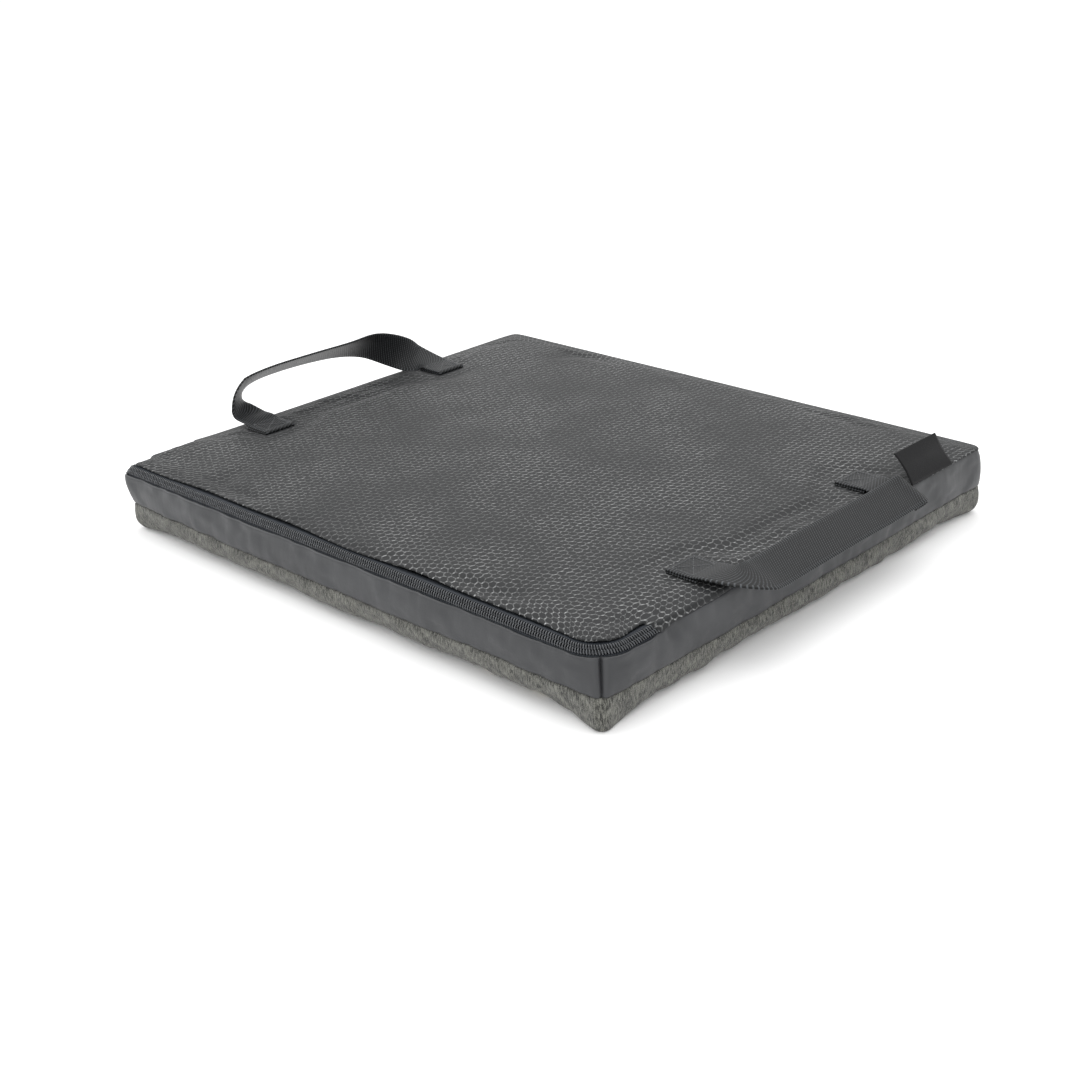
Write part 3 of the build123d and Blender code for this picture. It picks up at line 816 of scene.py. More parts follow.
def polypropylene_webbing():
    """Woven polypropylene webbing: black yarns in a fine twill whose crowns carry a
    painted highlight, and a corded selvedge along each edge marked by small pale ticks of
    the same painted highlight."""
    material, tree = blank("Polypropylene_webbing")
    cut = add(tree, CUT, uv_map="cut")
    at = add(tree, VECTOR, {0: cut, "Scale": MM}, operation="SCALE")
    along = add(tree, SPLIT, {0: at}, "X")
    across = add(tree, SPLIT, {0: at}, "Y")
    # The weave is drawn coarser than it is, so that it can be seen.
    twill_gap, yarn_gap, selvedge_from = 2.1, 1.5, 10.9
    slant = add(tree, MATH, {0: across, 1: 0.55, 2: along}, operation="MULTIPLY_ADD")
    turn = add(tree, MATH, {0: slant, 1: 2 * np.pi / twill_gap}, operation="MULTIPLY")
    twill = add(tree, MATH, {0: turn}, operation="SINE")
    twill = add(tree, RANGE, {0: twill, 1: 0.1, 2: 1.0})
    yarn = add(tree, MATH, {0: across, 1: 2 * np.pi / yarn_gap}, operation="MULTIPLY")
    yarn = add(tree, MATH, {0: yarn}, operation="SINE")
    yarn = add(tree, RANGE, {0: yarn, 1: -0.6, 2: 1.0, 3: 0.25, 4: 1.0})
    face = add(tree, MATH, {0: twill, 1: yarn}, operation="MULTIPLY")
    ribs = add(tree, MATH, {0: along, 1: 2 * np.pi / twill_gap}, operation="MULTIPLY")
    ribs = add(tree, MATH, {0: ribs}, operation="SINE")
    ribs = add(tree, RANGE, {0: ribs, 1: 0.2, 2: 1.0})
    from_middle = add(tree, MATH, {0: across}, operation="ABSOLUTE")
    selvedge = {0: from_middle, 1: selvedge_from}
    selvedge = add(tree, MATH, selvedge, operation="GREATER_THAN")
    weave = add(tree, MIX, {0: selvedge, 2: face, 3: ribs}, data_type="FLOAT")
    drawn = add(tree, VECTOR, {0: at, 1: (0.4, 2.0, 1)}, operation="MULTIPLY")
    fibre = add(tree, NOISE, {"Vector": drawn, "Scale": 0.9, "Detail": 2.0})
    fibre = add(tree, RANGE, {0: fibre, 1: 0.3, 2: 0.7, 3: 0.4, 4: 1.0})
    share = add(tree, MATH, {0: weave, 1: fibre}, operation="MULTIPLY")
    # The colour runs from the black yarn up to 14 times as light where the weave's crowns
    # stand: a painted highlight.
    colours = {0: share, 6: shaded(tint("webbing"), 0.7), 7: shaded(tint("webbing"), 14.0)}
    shade = add(tree, MIX, colours, 2, data_type="RGBA")
    bump = add(tree, BUMP, {"Height": weave, "Distance": 0.35 / MM, "Strength": 0.9})
    shader = {"Base Color": shade, "Roughness": 0.42, "Normal": bump}
    shader |= {"Specular IOR Level": 0.22}
    add(tree, OUTPUT, {"Surface": add(tree, SHADER, shader)})
    return material


def bonded_thread():
    """Bonded polyester thread: twisted and waxed, shinier and a little paler than the
    webbing, so that the seams show."""
    material, tree = blank("Bonded_thread")
    placed = add(tree, COORDS, output="Object")
    at = add(tree, VECTOR, {0: placed, "Scale": MM}, operation="SCALE")
    twist = add(tree, WAVE, {"Vector": at, "Scale": 2.0}, 1)
    colours = {0: twist, 6: linear("#2a2b2d"), 7: linear("#5c5e60")}
    shade = add(tree, MIX, colours, 2, data_type="RGBA")
    bump = add(tree, BUMP, {"Height": twist, "Distance": 0.1 / MM, "Strength": 0.7})
    shader = {"Base Color": shade, "Roughness": 0.42, "Normal": bump}
    add(tree, OUTPUT, {"Surface": add(tree, SHADER, shader)})
    return material


def plain_backing():
    """Plain-woven polyester patch under each tab: matt, dark and even."""
    material, tree = blank("Plain_woven_backing")
    placed = add(tree, COORDS, output="Object")
    at = add(tree, VECTOR, {0: placed, "Scale": MM}, operation="SCALE")
    # The threads are drawn 1.2 mm apart, twice their true size.
    turned = add(tree, VECTOR, {0: at, "Scale": 5.2}, operation="SCALE")
    waves = add(tree, VECTOR, {0: turned}, operation="SINE")
    warp = add(tree, SPLIT, {0: waves}, "X")
    weft = add(tree, SPLIT, {0: waves}, "Y")
    weave = add(tree, MATH, {0: warp, 1: weft}, operation="MULTIPLY")
    weave = add(tree, RANGE, {0: weave, 1: -1, 2: 1})
    colours = {0: weave, 6: linear("#18191a"), 7: linear("#2f3032")}
    shade = add(tree, MIX, colours, 2, data_type="RGBA")
    bump = add(tree, BUMP, {"Height": weave, "Distance": 0.2 / MM, "Strength": 0.8})
    shader = {"Base Color": shade, "Roughness": 0.85, "Normal": bump}
    add(tree, OUTPUT, {"Surface": add(tree, SHADER, shader)})
    return material


def satin_ribbon():
    """Woven satin ribbon: black floats lie side by side and give a long soft shine."""
    material, tree = blank("Satin_ribbon")
    cut = add(tree, CUT, uv_map="cut")
    at = add(tree, VECTOR, {0: cut, "Scale": MM}, operation="SCALE")
    drawn = add(tree, VECTOR, {0: at, 1: (0.6, 6.0, 1)}, operation="MULTIPLY")
    floats = add(tree, NOISE, {"Vector": drawn, "Scale": 1.0, "Detail": 2.0})
    share = add(tree, RANGE, {0: floats, 1: 0.35, 2: 0.65})
    colours = {0: share, 6: tint("tag"), 7: shaded(tint("tag"), 2.2)}
    shade = add(tree, MIX, colours, 2, data_type="RGBA")
    bump = add(tree, BUMP, {"Height": floats, "Distance": 0.12 / MM, "Strength": 0.7})
    shader = {"Base Color": shade, "Roughness": 0.42, "Normal": bump}
    shader |= {"Anisotropic": 0.4, "Specular IOR Level": 0.12}
    add(tree, OUTPUT, {"Surface": add(tree, SHADER, shader)})
    return material


def cell_foam(name, key, cells):
    """Cut foam: small open cells, matt, with painted shade in their pits, so that the cell
    walls are paler. cells is their number in a millimetre."""
    material, tree = blank(name)
    placed = add(tree, COORDS, output="Object")
    at = add(tree, VECTOR, {0: placed, "Scale": MM}, operation="SCALE")
    pores = add(tree, CELLS, {"Vector": at, "Scale": cells}, "Distance")
    depth = add(tree, RANGE, {0: pores, 1: 0.1, 2: 0.7})
    # The pits of the cells are painted down to half as light: painted shade.
    colours = {0: depth, 6: shaded(tint(key), 0.5), 7: tint(key)}
    shade = add(tree, MIX, colours, 2, data_type="RGBA")
    bump = add(tree, BUMP, {"Height": depth, "Distance": 0.5 / MM, "Strength": 0.8})
    shader = {"Base Color": shade, "Roughness": 0.9, "Normal": bump}
    add(tree, OUTPUT, {"Surface": add(tree, SHADER, shader)})
    return material


def studio_paper():
    """Matt white studio paper: even, with no shine."""
    material, tree = blank("Studio_paper")
    placed = add(tree, COORDS, output="Object")
    clouds = add(tree, NOISE, {"Vector": placed, "Scale": 2.0, "Detail": 2.0})
    colours = {0: clouds, 6: shaded(tint("floor"), 0.985), 7: tint("floor")}
    shade = add(tree, MIX, colours, 2, data_type="RGBA")
    shader = {"Base Color": shade, "Roughness": 0.9, "Specular IOR Level": 0.1}
    add(tree, OUTPUT, {"Surface": add(tree, SHADER, shader)})
    return material


# ---------------------------------------------------------------- the pieces


def unrolled(points, start):
    """Each grid point's place on the flat cut: inside ring number start it is its own
    (x, y), and outside it is that ring's plus the length of cloth walked outwards."""
    steps = np.linalg.norm(np.diff(points, axis=1), axis=2)
    walk = np.concatenate([np.zeros((len(points), 1)), np.cumsum(steps, 1)], 1)
    beyond = walk[:, start : start + 1] - walk
    flat = points[..., :2].copy()
    flat[:, :start] = (
        points[:, start : start + 1, :2]
        + outward[:, None] * beyond[:, :start, None]
    )
    return np.concatenate([flat, flat[:1]], 0)


def wall_cut(points):
    """Each grid point's place on the flat cut of a wall: the length walked around, and
    the length of cloth up from the first row."""
    steps = np.linalg.norm(np.diff(points, axis=1), axis=2)
    walk = np.concatenate([np.zeros((len(points), 1)), np.cumsum(steps, 1)], 1)
    around = np.concatenate([walked, [PERIMETER]])
    up = np.concatenate([walk, walk[:1]], 0)
    return np.stack([np.repeat(around[:, None], up.shape[1], 1), up], -1)


# The ring of the top panel from which inwards its cut lies flat at its own (x, y).
FLAT_RING = 25


def top_panel_points():
    """The top panel: a nose folded under along the zip and tucked into the seam
    elsewhere, then rings over the crown."""
    size = sizes()
    nose = np.linspace(-2.6, np.pi / 2, 12)
    free, sewn = top_zipped, 1 - top_zipped
    sway = 0.9 * np.sin(walked / 31.0) + 0.7 * np.sin(walked / 17.0 + 1.4) - 0.5
    centre_out = (sway - SHOULDER - 0.4) * free - 3.7 * sewn
    edge = soft_outline + outward * (centre_out - 0.2)[:, None]
    edge_z = top_height(edge[:, 0], edge[:, 1], size)
    seam_z = band_top()[1] + 0.5
    drop = 0.75 * free + np.maximum(edge_z - seam_z, 1.0) * sewn
    reach = 0.75 * free + 2.1 * sewn
    out = centre_out[:, None] + reach[:, None] * np.cos(nose)[None]
    tall = np.where(np.sin(nose)[None] > 0, drop[:, None], 0.75)
    height = (edge_z - drop)[:, None] + tall * np.sin(nose)[None]
    fold = place(out, height, np.ones_like(out))
    tucked = fold[:, :1].copy()
    tucked[..., :2] -= outward[:, None] * 2.6
    tucked[..., 2] += 0.1
    inner = rings(fold[:, -1, :2], RING_SHARES)
    level = top_height(inner[..., 0], inner[..., 1], size)
    inner = np.concatenate([inner, level[..., None]], -1)
    return np.concatenate([tucked, fold, inner], 1)


def foam_points(low, high, inset, edge):
    """A foam slab: rings over its underside, a wall with rounded edges, and rings over
    its top."""
    flat = soft_outline - outward * inset
    shares = np.linspace(0, 1, 14)[1:] ** 1.3
    turn = np.linspace(0, np.pi / 2, 5)
    bottom_out = -edge * (1 - np.sin(turn))
    bottom_z = low + edge * (1 - np.cos(turn))
    top_out = -edge * (1 - np.cos(turn))
    top_z = high - edge * (1 - np.sin(turn))
    outs = np.concatenate([bottom_out, top_out]) - inset
    heights = np.concatenate([bottom_z, top_z])
    wall = place(
        np.repeat(outs[None], len(flat), 0),
        np.repeat(heights[None], len(flat), 0),
        np.ones((len(flat), len(outs))),
    )
    under = rings(wall[:, 0, :2], shares)[:, ::-1]
    over = rings(wall[:, -1, :2], shares)
    level = np.full(under.shape[:2] + (1,), low)
    under = np.concatenate([under, level], -1)
    over = np.concatenate([over, level * 0 + high], -1)
    return np.concatenate([under, wall, over], 1)


def knit_points():
    """The knitted underside: flat on the floor, a soft roll of uneven width up to the
    bands, and a tuck into the seam."""
    seam = seam_height()[:, None]
    turn = np.linspace(0, np.pi / 2, 18)[None]
    roll = floor_roll()[:, None]
    lift = (seam - 0.9) * (1 - np.cos(turn) ** 0.85)
    out = -roll * (1 - np.sin(turn) ** 0.8) - 0.5
    out = out + lean(lift)
    swell = 0.8 * np.sin(2 * turn) * smooth(turn, 0.5, 1.0)
    out = out + swell - 0.8 * seam_groove()[:, None] * smooth(turn, 0.2, 0.6)
    out = out + cloth_rise("wall", walked[:, None], lift, sizes()["pucker"])
    tuck_out = out[:, -1:] + np.array([[-0.5, -1.5, -2.8]])
    tuck_z = seam + np.array([[-0.25, 0.0, 0.0]])
    out = np.concatenate([out, tuck_out], 1)
    height = np.concatenate([lift, tuck_z + 0 * tuck_out], 1)
    wall = place(out, height, wall_softness(height))
    shares = (np.linspace(0, 1, 26)[1:] ** 1.2)[::-1]
    under = rings(wall[:, 0, :2], shares)
    under = np.concatenate([under, np.zeros(under.shape[:2] + (1,))], -1)
    return np.concatenate([under, wall], 1)


def band_points():
    """The bands' walls: tucked into the lower seam, swelling outwards, and folded in at
    the top edge."""
    size = sizes()
    seam = seam_height()[:, None]
    top_out, top_z = band_top()
    share = np.linspace(0, 1, 15)[None]
    low, high = seam + 0.9, top_z[:, None] - 0.7
    height = low + (high - low) * share
    base = -0.5 + (top_out[:, None] + 0.5) * share
    out = base + size["band_bulge"] * np.sin(np.pi * share) ** 0.9
    out = out + lean(height) - 1.3 * seam_groove()[:, None]
    out = out + pinches(height)
    out = out + cloth_rise("wall", walked[:, None], height, BAND_PUCKER * size["pucker"])
    low_out = out[:, :1] + np.array([[-2.8, -1.5, -0.5]])
    low_z = seam + np.array([[0.0, 0.0, 0.25]])
    high_out = out[:, -1:] + np.array([[-0.35, -1.0, -1.7]])
    high_z = top_z[:, None] + np.array([[-0.2, 0.0, -0.15]])
    out = np.concatenate([low_out, out, high_out], 1)
    height = np.concatenate([low_z + 0 * low_out, height, high_z + 0 * high_out], 1)
    return place(out, height, wall_softness(height))


def pinches(height):
    """Pinched folds in the bands under both ends of the zip: a few narrow troughs,
    each -depth exp(-((y - middle) / width)^2), that fan out downwards and fade."""
    total = np.zeros(height.shape)
    y = soft_outline[:, 1][:, None]
    side = smooth(np.abs(outward[:, 0]), 0.8, 0.99)[:, None]
    for start, slant, width, depth in (
        (ZIP_END_Y - 3, -0.25, 3.4, 2.4),
        (ZIP_END_Y + 3, 0.25, 3.2, 3.0),
        (ZIP_END_Y + 10, 0.7, 3.8, 2.2),
    ):
        middle = start + slant * (TOP_Z - height)
        fade = smooth(height, 25, 44)
        total -= depth * np.exp(-(((y - middle) / width) ** 2)) * fade
    return total * side


def zip_line(end_y):
    """The zip's line from the right end at end_y, round the front, to the left end,
    with its outward directions and the length walked to each point."""
    order = np.flatnonzero(soft_outline[:, 1] <= end_y)[::-1]
    path, normal = soft_outline[order], outward[order]
    first, last = path[0].copy(), path[-1].copy()
    first[1], last[1] = end_y, end_y
    path = np.concatenate([[first], path, [last]])
    normal = np.concatenate([normal[:1], normal, normal[-1:]])
    steps = np.linalg.norm(np.diff(path, axis=0), axis=1)
    return path, normal, np.concatenate([[0], np.cumsum(steps)])


def along_zip(line, at):
    """The places and outward directions at the lengths at along the zip's line."""
    path, normal, walk = line
    base = np.stack([np.interp(at, walk, path[:, i]) for i in (0, 1)], 1)
    facing = np.stack([np.interp(at, walk, normal[:, i]) for i in (0, 1)], 1)
    return base, unit(facing)


# The zip lies on a slope of 45 degrees over the pad's shoulder, here at its middle.
MIDDLE_OUT = -SHOULDER / 2
MIDDLE_Z = TOP_Z - SHOULDER / 2
ZIP_SLOPE = np.sqrt(0.5)
TAPE_STEPS = 260
COIL_STEPS = 10


def zip_tape(name, upper, material):
    """One zip tape: a strip carried round the zip's line, bent from the level under its
    neighbour to the slope beside the coil, with a raised cord along the coil. Its marks
    are (down the slope, out of it), and its other points are (out, height)."""
    before, after = [], []
    if upper:
        before = [(-14.0, 47.2), (-11.0, 47.4), (-9.2, 47.5)]
        marks = [(-4.3, -1.1), (-3.75, -0.95), (-3.4, -0.35), (-3.15, -0.3)]
        marks += [(-2.9, -0.9), (-2.0, -1.2), (-0.5, -1.25)]
    else:
        marks = [(0.5, -1.25), (2.0, -1.2), (2.9, -0.9), (3.15, -0.75)]
        marks += [(3.4, -0.75), (3.75, -1.0), (4.5, -1.15)]
        after = [(-2.3, 40.2), (-2.5, 38.0), (-2.6, 35.5)]
    sloped = [
        (MIDDLE_OUT + (a + n) * ZIP_SLOPE, MIDDLE_Z + (n - a) * ZIP_SLOPE)
        for a, n in marks
    ]
    section = np.array(before + sloped + after)
    line = zip_line(ZIP_END_Y)
    at = np.linspace(0, line[2][-1], TAPE_STEPS)
    base, facing = along_zip(line, at)
    flat = base[:, None] + facing[:, None] * section[None, :, :1]
    level = np.repeat(section[None, :, 1:], TAPE_STEPS, 0)
    points = np.concatenate([flat, level], -1)
    across = np.concatenate(
        [[0], np.cumsum(np.linalg.norm(np.diff(section, axis=0), axis=1))]
    )
    uv = np.stack(np.meshgrid(at, across, indexing="ij"), -1)
    return surface(name, points, material, uv, wall=0.5)


def zip_coil(name, row, material):
    """One row of the coil: a flattened helix. For turn angle w, the filament is at
    across = middle + a cos w and out = b sin w, and it moves on by the pitch each turn;
    the second row is half a turn behind, so that the rows mesh. The loops are drawn
    farther apart than a real coil's, so that they can be seen."""
    route = zip_line(COIL_END_Y)
    run = route[2][-1]
    turns = int(run / sizes()["coil_pitch"])
    angle = np.linspace(0, 2 * np.pi * turns, turns * COIL_STEPS + 1)
    angle = angle + np.pi * (row > 0)
    at = np.linspace(0, run, len(angle))
    base, facing = along_zip(route, at)
    squared = np.sign(np.cos(angle)) * np.abs(np.cos(angle)) ** 0.75
    across = row * 1.42 + 1.3 * squared
    out = 0.05 + 0.75 * np.sin(angle)
    flat = base + facing * (MIDDLE_OUT + (across + out) * ZIP_SLOPE)[:, None]
    level = MIDDLE_Z + (out - across) * ZIP_SLOPE
    line = np.concatenate([flat, level[:, None]], 1)
    along = unit(np.gradient(line, axis=0))
    up = np.concatenate([facing * ZIP_SLOPE, np.full((len(at), 1), ZIP_SLOPE)], 1)
    side = unit(np.cross(up, along))
    up = np.cross(along, side)
    ring = np.arange(5) / 5 * 2 * np.pi
    section = 0.5 * np.stack([np.cos(ring), np.sin(ring)], 1)
    return tube(name, line, side, up, section, material)


def ribbon_section(width, gauge):
    """A webbing's outline: flat faces, softly rounded selvedges, run clockwise."""
    half, thick = width / 2, gauge / 2
    places = np.array([-1, -0.97, -0.9, -0.6, -0.3, 0, 0.3, 0.6, 0.9, 0.97, 1.0])
    fall = np.array([0.25, 0.85, 1.0, 0.96, 1.0, 0.96, 1.0, 0.96, 1.0, 0.85, 0.25])
    top = np.stack([places * half, fall * thick], 1)
    bottom = np.stack([places * half, -fall * thick], 1)
    return np.concatenate([top, bottom[::-1]])


# Each handle's free loop, tab to tab, as (outward from the side, along Y from the nearer
# tab or from the middle, above the top, direction across the webbing).
RAISED = (
    [
        (-5.0, -0.3, 4.6, (-0.03, -1.0, 0.03)),
        (4.0, -1.5, 7.5, (-0.15, -0.97, 0.12)),
        (8.5, -4.5, 13.0, (-0.38, -0.84, 0.38)),
        (10.0, 2.5, 21.5, (-0.6, -0.6, 0.5)),
        (10.5, 18.0, 27.0, (-0.78, -0.25, 0.55)),
    ],
    [
        (10.5, -42.0, 28.8, (-0.84, 0.0, 0.54)),
        (10.0, -2.0, 28.2, (-0.83, 0.0, 0.56)),
        (9.0, 24.0, 26.9, (-0.75, 0.0, 0.66)),
    ],
    [
        (7.5, -42.0, 23.7, (-0.5, 0.05, 0.86)),
        (4.5, -29.0, 18.5, (-0.25, 0.2, 0.93)),
        (0.0, -17.0, 12.5, (-0.05, 0.6, 0.8)),
        (-6.0, -7.0, 7.2, (0.05, 0.96, 0.25)),
    ],
)
DRAPED = (
    [
        (-4.0, 1.0, 4.4, (0.15, -0.99, 0.0)),
        (4.5, 6.0, 3.8, (0.6, -0.79, -0.1)),
        (6.5, 20.0, 0.6, (0.91, -0.2, -0.36)),
        (4.6, 41.0, -1.1, (0.89, -0.05, -0.45)),
    ],
    [
        (2.8, 0.0, -1.6, (0.885, 0.0, -0.466)),
        (2.2, 32.0, -1.7, (0.885, 0.0, -0.466)),
    ],
    [
        (2.0, -18.0, -1.8, (0.885, 0.0, -0.466)),
        (2.5, -3.0, -0.8, (0.86, 0.3, -0.4)),
        (2.0, 7.0, 2.2, (0.6, 0.78, -0.15)),
        (-5.0, 2.5, 4.2, (0.15, 0.98, 0.0)),
    ],
)


def tab_side(side):
    """The CAD boxes of the front and rear tab on one side, -1 left and 1 right."""
    name = "right" if side > 0 else "left"
    return cad(f"{name}_handle_front_tab"), cad(f"{name}_handle_rear_tab")


def handle_webbing(name, side, loop, material):
    """One handle: the webbing's end lies on the top, folds over itself under the box
    stitch, leaves over the side, loops, and ends the same way."""
    size = sizes()
    front, rear = tab_side(side)
    stations = []
    for box, back in ((front, False), (rear, True)):
        low, high = box
        middle_y = (low[1] + high[1]) / 2
        inner, outer = sorted((abs(low[0]), abs(high[0])))
        level = float(top_height(np.array(side * TAB_X), np.array(middle_y), size))
        reach = [outer - 1, (inner + outer) / 2, inner + 2.2, inner + 0.9]
        reach += [inner + 0.6, inner + 0.9, inner + 2.2, (inner + outer) / 2, outer - 5]
        lift = [0.95, 0.95, 0.95, 1.15, 1.75, 2.35, 2.6, 2.6, 2.9]
        end = [
            (side * x, middle_y, level + z, (0, 1 if back else -1, 0))
            for x, z in zip(reach, lift)
        ]
        pivot = (side * HINGE_X, middle_y, TOP_Z + 4, (0, 1 if back else -1, 0))
        end.append(pivot)
        stations.append(end)
    y_front, y_rear = stations[0][0][1], stations[1][0][1]
    free = []
    for shift, part in zip((y_front, 0.0, y_rear), loop):
        free += [(side * (HALF_X + o), shift + y, TOP_Z + h, w) for o, y, h, w in part]
    free = [(x, y, z, (side * w[0], w[1], w[2])) for x, y, z, w in free]
    runs = [stations[0] + free + stations[1][::-1]]
    if side > 0:
        # The draped band laps over the rear tab and is turned square under itself there,
        # and the tab's own webbing runs out beneath it.
        tilt = (0.885, 0.0, -0.466)
        lap = [(2.0, -2.0, -1.2), (2.2, 9.0, -0.6), (2.2, 16.5, -0.5)]
        lap += [(1.7, 18.2, -1.4), (1.3, 16.5, -2.3), (1.2, 3.0, -3.0)]
        lap = [(HALF_X + o, y_rear + y, TOP_Z + h, tilt) for o, y, h in lap]
        under = [(-14.0, 2.6), (-10.0, 1.4), (-6.5, 0.3)]
        under = [(HALF_X + o, y_rear, TOP_Z + h, (0, 1, 0)) for o, h in under]
        runs = [stations[0] + free[:-3] + lap, stations[1][:-1] + under]
    points, faces, corner_uv, done = [], [], [], 0
    for run in runs:
        path, across = spline([s[:3] for s in run], 1.5, [s[3] for s in run])
        path, across = eased(path, squared_to(path, across), WEBBING_WIDTH / 2)
        up = unit(np.cross(np.gradient(path, axis=0), across))
        section = ribbon_section(WEBBING_WIDTH, WEBBING_GAUGE)
        more, blocks, uv = tube_arrays(path, across, up, section)
        points.append(more)
        faces += [block + done for block in blocks]
        corner_uv.append(uv)
        done += len(more)
    corner_uv = np.concatenate(corner_uv)
    return make_piece(name, np.concatenate(points), faces, material, corner_uv)


def stitch_shape(reach, thick):
    """One stitch: a low closed spindle along its first axis, in 7 rings of 6."""
    at = np.linspace(-1, 1, 7)
    fat = thick * np.sqrt(np.maximum(1 - at**4, 0.02))
    turn = np.arange(6) / 6 * 2 * np.pi
    points = np.stack(
        [
            np.repeat(at * reach, 6),
            (fat[:, None] * np.cos(turn)).ravel(),
            (fat[:, None] * np.sin(turn)).ravel(),
        ],
        1,
    )
    faces, _, _ = grid_faces(7, 6, across=True)
    return points, [faces[:, ::-1], np.arange(6)[None], 36 + np.arange(6)[::-1][None]]


def box_stitches(name, side, material):
    """The boxed cross sewn through both tabs of a handle, stitch by stitch."""
    size = sizes()
    places, headings = [], []
    for low, high in tab_side(side):
        inner, outer = sorted((abs(low[0]), abs(high[0])))
        x0, x1 = inner + 3.0, outer - 5.0
        y0, y1 = low[1] + 3.2, high[1] - 3.2
        corners = [(x0, y0), (x1, y0), (x1, y1), (x0, y1)]
        lines = [(corners[i], corners[(i + 1) % 4]) for i in range(4)]
        lines += [(corners[0], corners[2]), (corners[1], corners[3])]
        for start, stop in lines:
            start, stop = np.array(start), np.array(stop)
            run = np.linalg.norm(stop - start)
            count = max(3, int(round(run / size["stitch"])))
            share = (np.arange(count) + 0.5)[:, None] / count
            spots = start + share * (stop - start)
            middle = (low[1] + high[1]) / 2
            level = float(top_height(np.array(side * TAB_X), np.array(middle), size))
            lift = level + 3.32 + 0.3 * smooth(spots[:, 0], outer - 8, outer - 4)
            flat = np.stack([side * spots[:, 0], spots[:, 1], lift], 1)
            way = np.append((stop - start) / run * [side, 1], 0)
            places.append(flat)
            headings.append(np.repeat(way[None], count, 0))
    places, headings = np.concatenate(places), np.concatenate(headings)
    points, faces = stitch_shape(1.25, 0.33)
    up = np.repeat([[0.0, 0.0, 1.0]], len(places), 0)
    points, faces = repeat(points, faces, places, headings, up)
    return make_piece(name, points, faces, material)


def folded_tag(name, material):
    """The blank tag: a ribbon that comes out of the side seam, folds over, and goes back
    in, leaning over the top with a slight curl."""
    low, high = cad("side_tag")
    foot = np.array([high[0] - 0.5, low[2] + 0.3])
    tip = np.array([low[0] + 0.5, high[2] - 0.4])
    rise = unit(tip - foot)
    tall = np.linalg.norm(tip - foot)
    square = np.array([rise[1], -rise[0]])
    up = np.linspace(0, tall - 0.45, 14)
    turn = np.linspace(np.pi / 2, -np.pi / 2, 7)[1:-1]
    u = np.concatenate([up, tall - 0.45 + 0.3 * np.cos(turn), up[::-1]])
    gap = np.concatenate([0.3 + 0 * up, 0.3 * np.sin(turn), -0.3 + 0 * up])
    along = np.linspace(low[1] + 0.3, high[1] - 0.3, 34)
    curl = 1.3 * np.sin(np.pi * u[None] / tall) * np.cos((along[:, None] - along[0]) / 21)
    flat = foot + rise * u[:, None] + square * gap[:, None]
    x = flat[None, :, 0] + square[0] * curl
    z = flat[None, :, 1] + square[1] * curl
    y = np.repeat(along[:, None], len(u), 1)
    points = np.stack([x, y, z], -1)
    walk = np.concatenate(
        [[0], np.cumsum(np.linalg.norm(np.diff(flat, axis=0), axis=1))]
    )
    uv = np.stack(np.meshgrid(along, walk, indexing="ij"), -1)
    return surface(name, points, material, uv, wall=0.3), (high[1] - low[1], walk[-1])


# ---------------------------------------------------------------- operators


def dress(node, material):
    """A CAD node that stays gets its finish."""
    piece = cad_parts[node]
    piece.data.materials.clear()
    piece.data.materials.append(material)


def stands_for(piece, body, slot_name, *nodes):
    """The piece rides on a body and replaces CAD nodes."""
    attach(piece, body)
    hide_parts(*nodes)


class PAD_OT_settle(bpy.types.Operator):
    """Settles the cloth of the top and the walls by simulation"""

    bl_idname = "pad.settle"
    bl_label = "Settle cloth"

    def execute(self, context):
        for name, cut, step, ease, held in (
            ("top", TOP_CUT, 5.0, 0.007, top_held),
            ("wall", WALL_CUT, 3.8, 0.022, wall_held),
        ):
            settled[name] = (pressed_sheet(*cut, step, ease, held), cut)
        return {"FINISHED"}


class PAD_OT_foam(bpy.types.Operator):
    """Makes the two foam layers inside the cover"""

    bl_idname = "pad.foam"
    bl_label = "Foam layers"

    def execute(self, context):
        for node, key, cells, name in (
            ("comfort_foam_layer", "comfort", 1.1, "Open_cell_foam"),
            ("firm_foam_layer", "firm", 1.8, "Closed_cell_foam"),
        ):
            low, high = cad(node)
            inset = HALF_X - high[0] + 7.0
            drop = 1.6 if key == "firm" else 0.0
            points = foam_points(low[2] + 0.4, high[2] - drop, inset, 5.0)
            flat = np.concatenate([points, points[:1]], 0)[..., :2]
            material = cell_foam(name, key, cells)
            piece = surface(f"{key}_foam", points, material, flat, True, wall=0)
            stands_for(piece, "pad", node.replace("_layer", ""), node)
        return {"FINISHED"}


class PAD_OT_top_panel(bpy.types.Operator):
    """Makes the honeycomb top panel"""

    bl_idname = "pad.top_panel"
    bl_label = "Honeycomb top"

    def execute(self, context):
        points = top_panel_points()
        uv = unrolled(points, FLAT_RING)
        piece = surface("honeycomb_top", points, honeycomb_cloth(), uv, True)
        stands_for(piece, "pad", "honeycomb_fabric", "non_slip_top_panel")
        return {"FINISHED"}


class PAD_OT_bands(bpy.types.Operator):
    """Makes the four coated bands, sewn together at the corners"""

    bl_idname = "pad.bands"
    bl_label = "Coated bands"

    def execute(self, context):
        points = band_points()
        uv = wall_cut(points)
        material = coated_cloth()
        points = np.concatenate([points, points[:1]], 0)
        stops = corner_at + [len(points) - 1]
        for k, name in enumerate(("left", "front", "right", "back")):
            part = slice(stops[k], stops[k + 1] + 1)
            piece = surface(f"{name}_coated_band", points[part], material, uv[part])
            stands_for(piece, "pad", "coated_band", f"{name}_band")
        return {"FINISHED"}


class PAD_OT_knit(bpy.types.Operator):
    """Makes the knitted underside"""

    bl_idname = "pad.knit"
    bl_label = "Knitted underside"

    def execute(self, context):
        points = knit_points()
        piece = surface("knit_underside", points, heather_knit(), wall_cut(points), True)
        stands_for(piece, "pad", "melange_knit", "knit_cover")
        return {"FINISHED"}


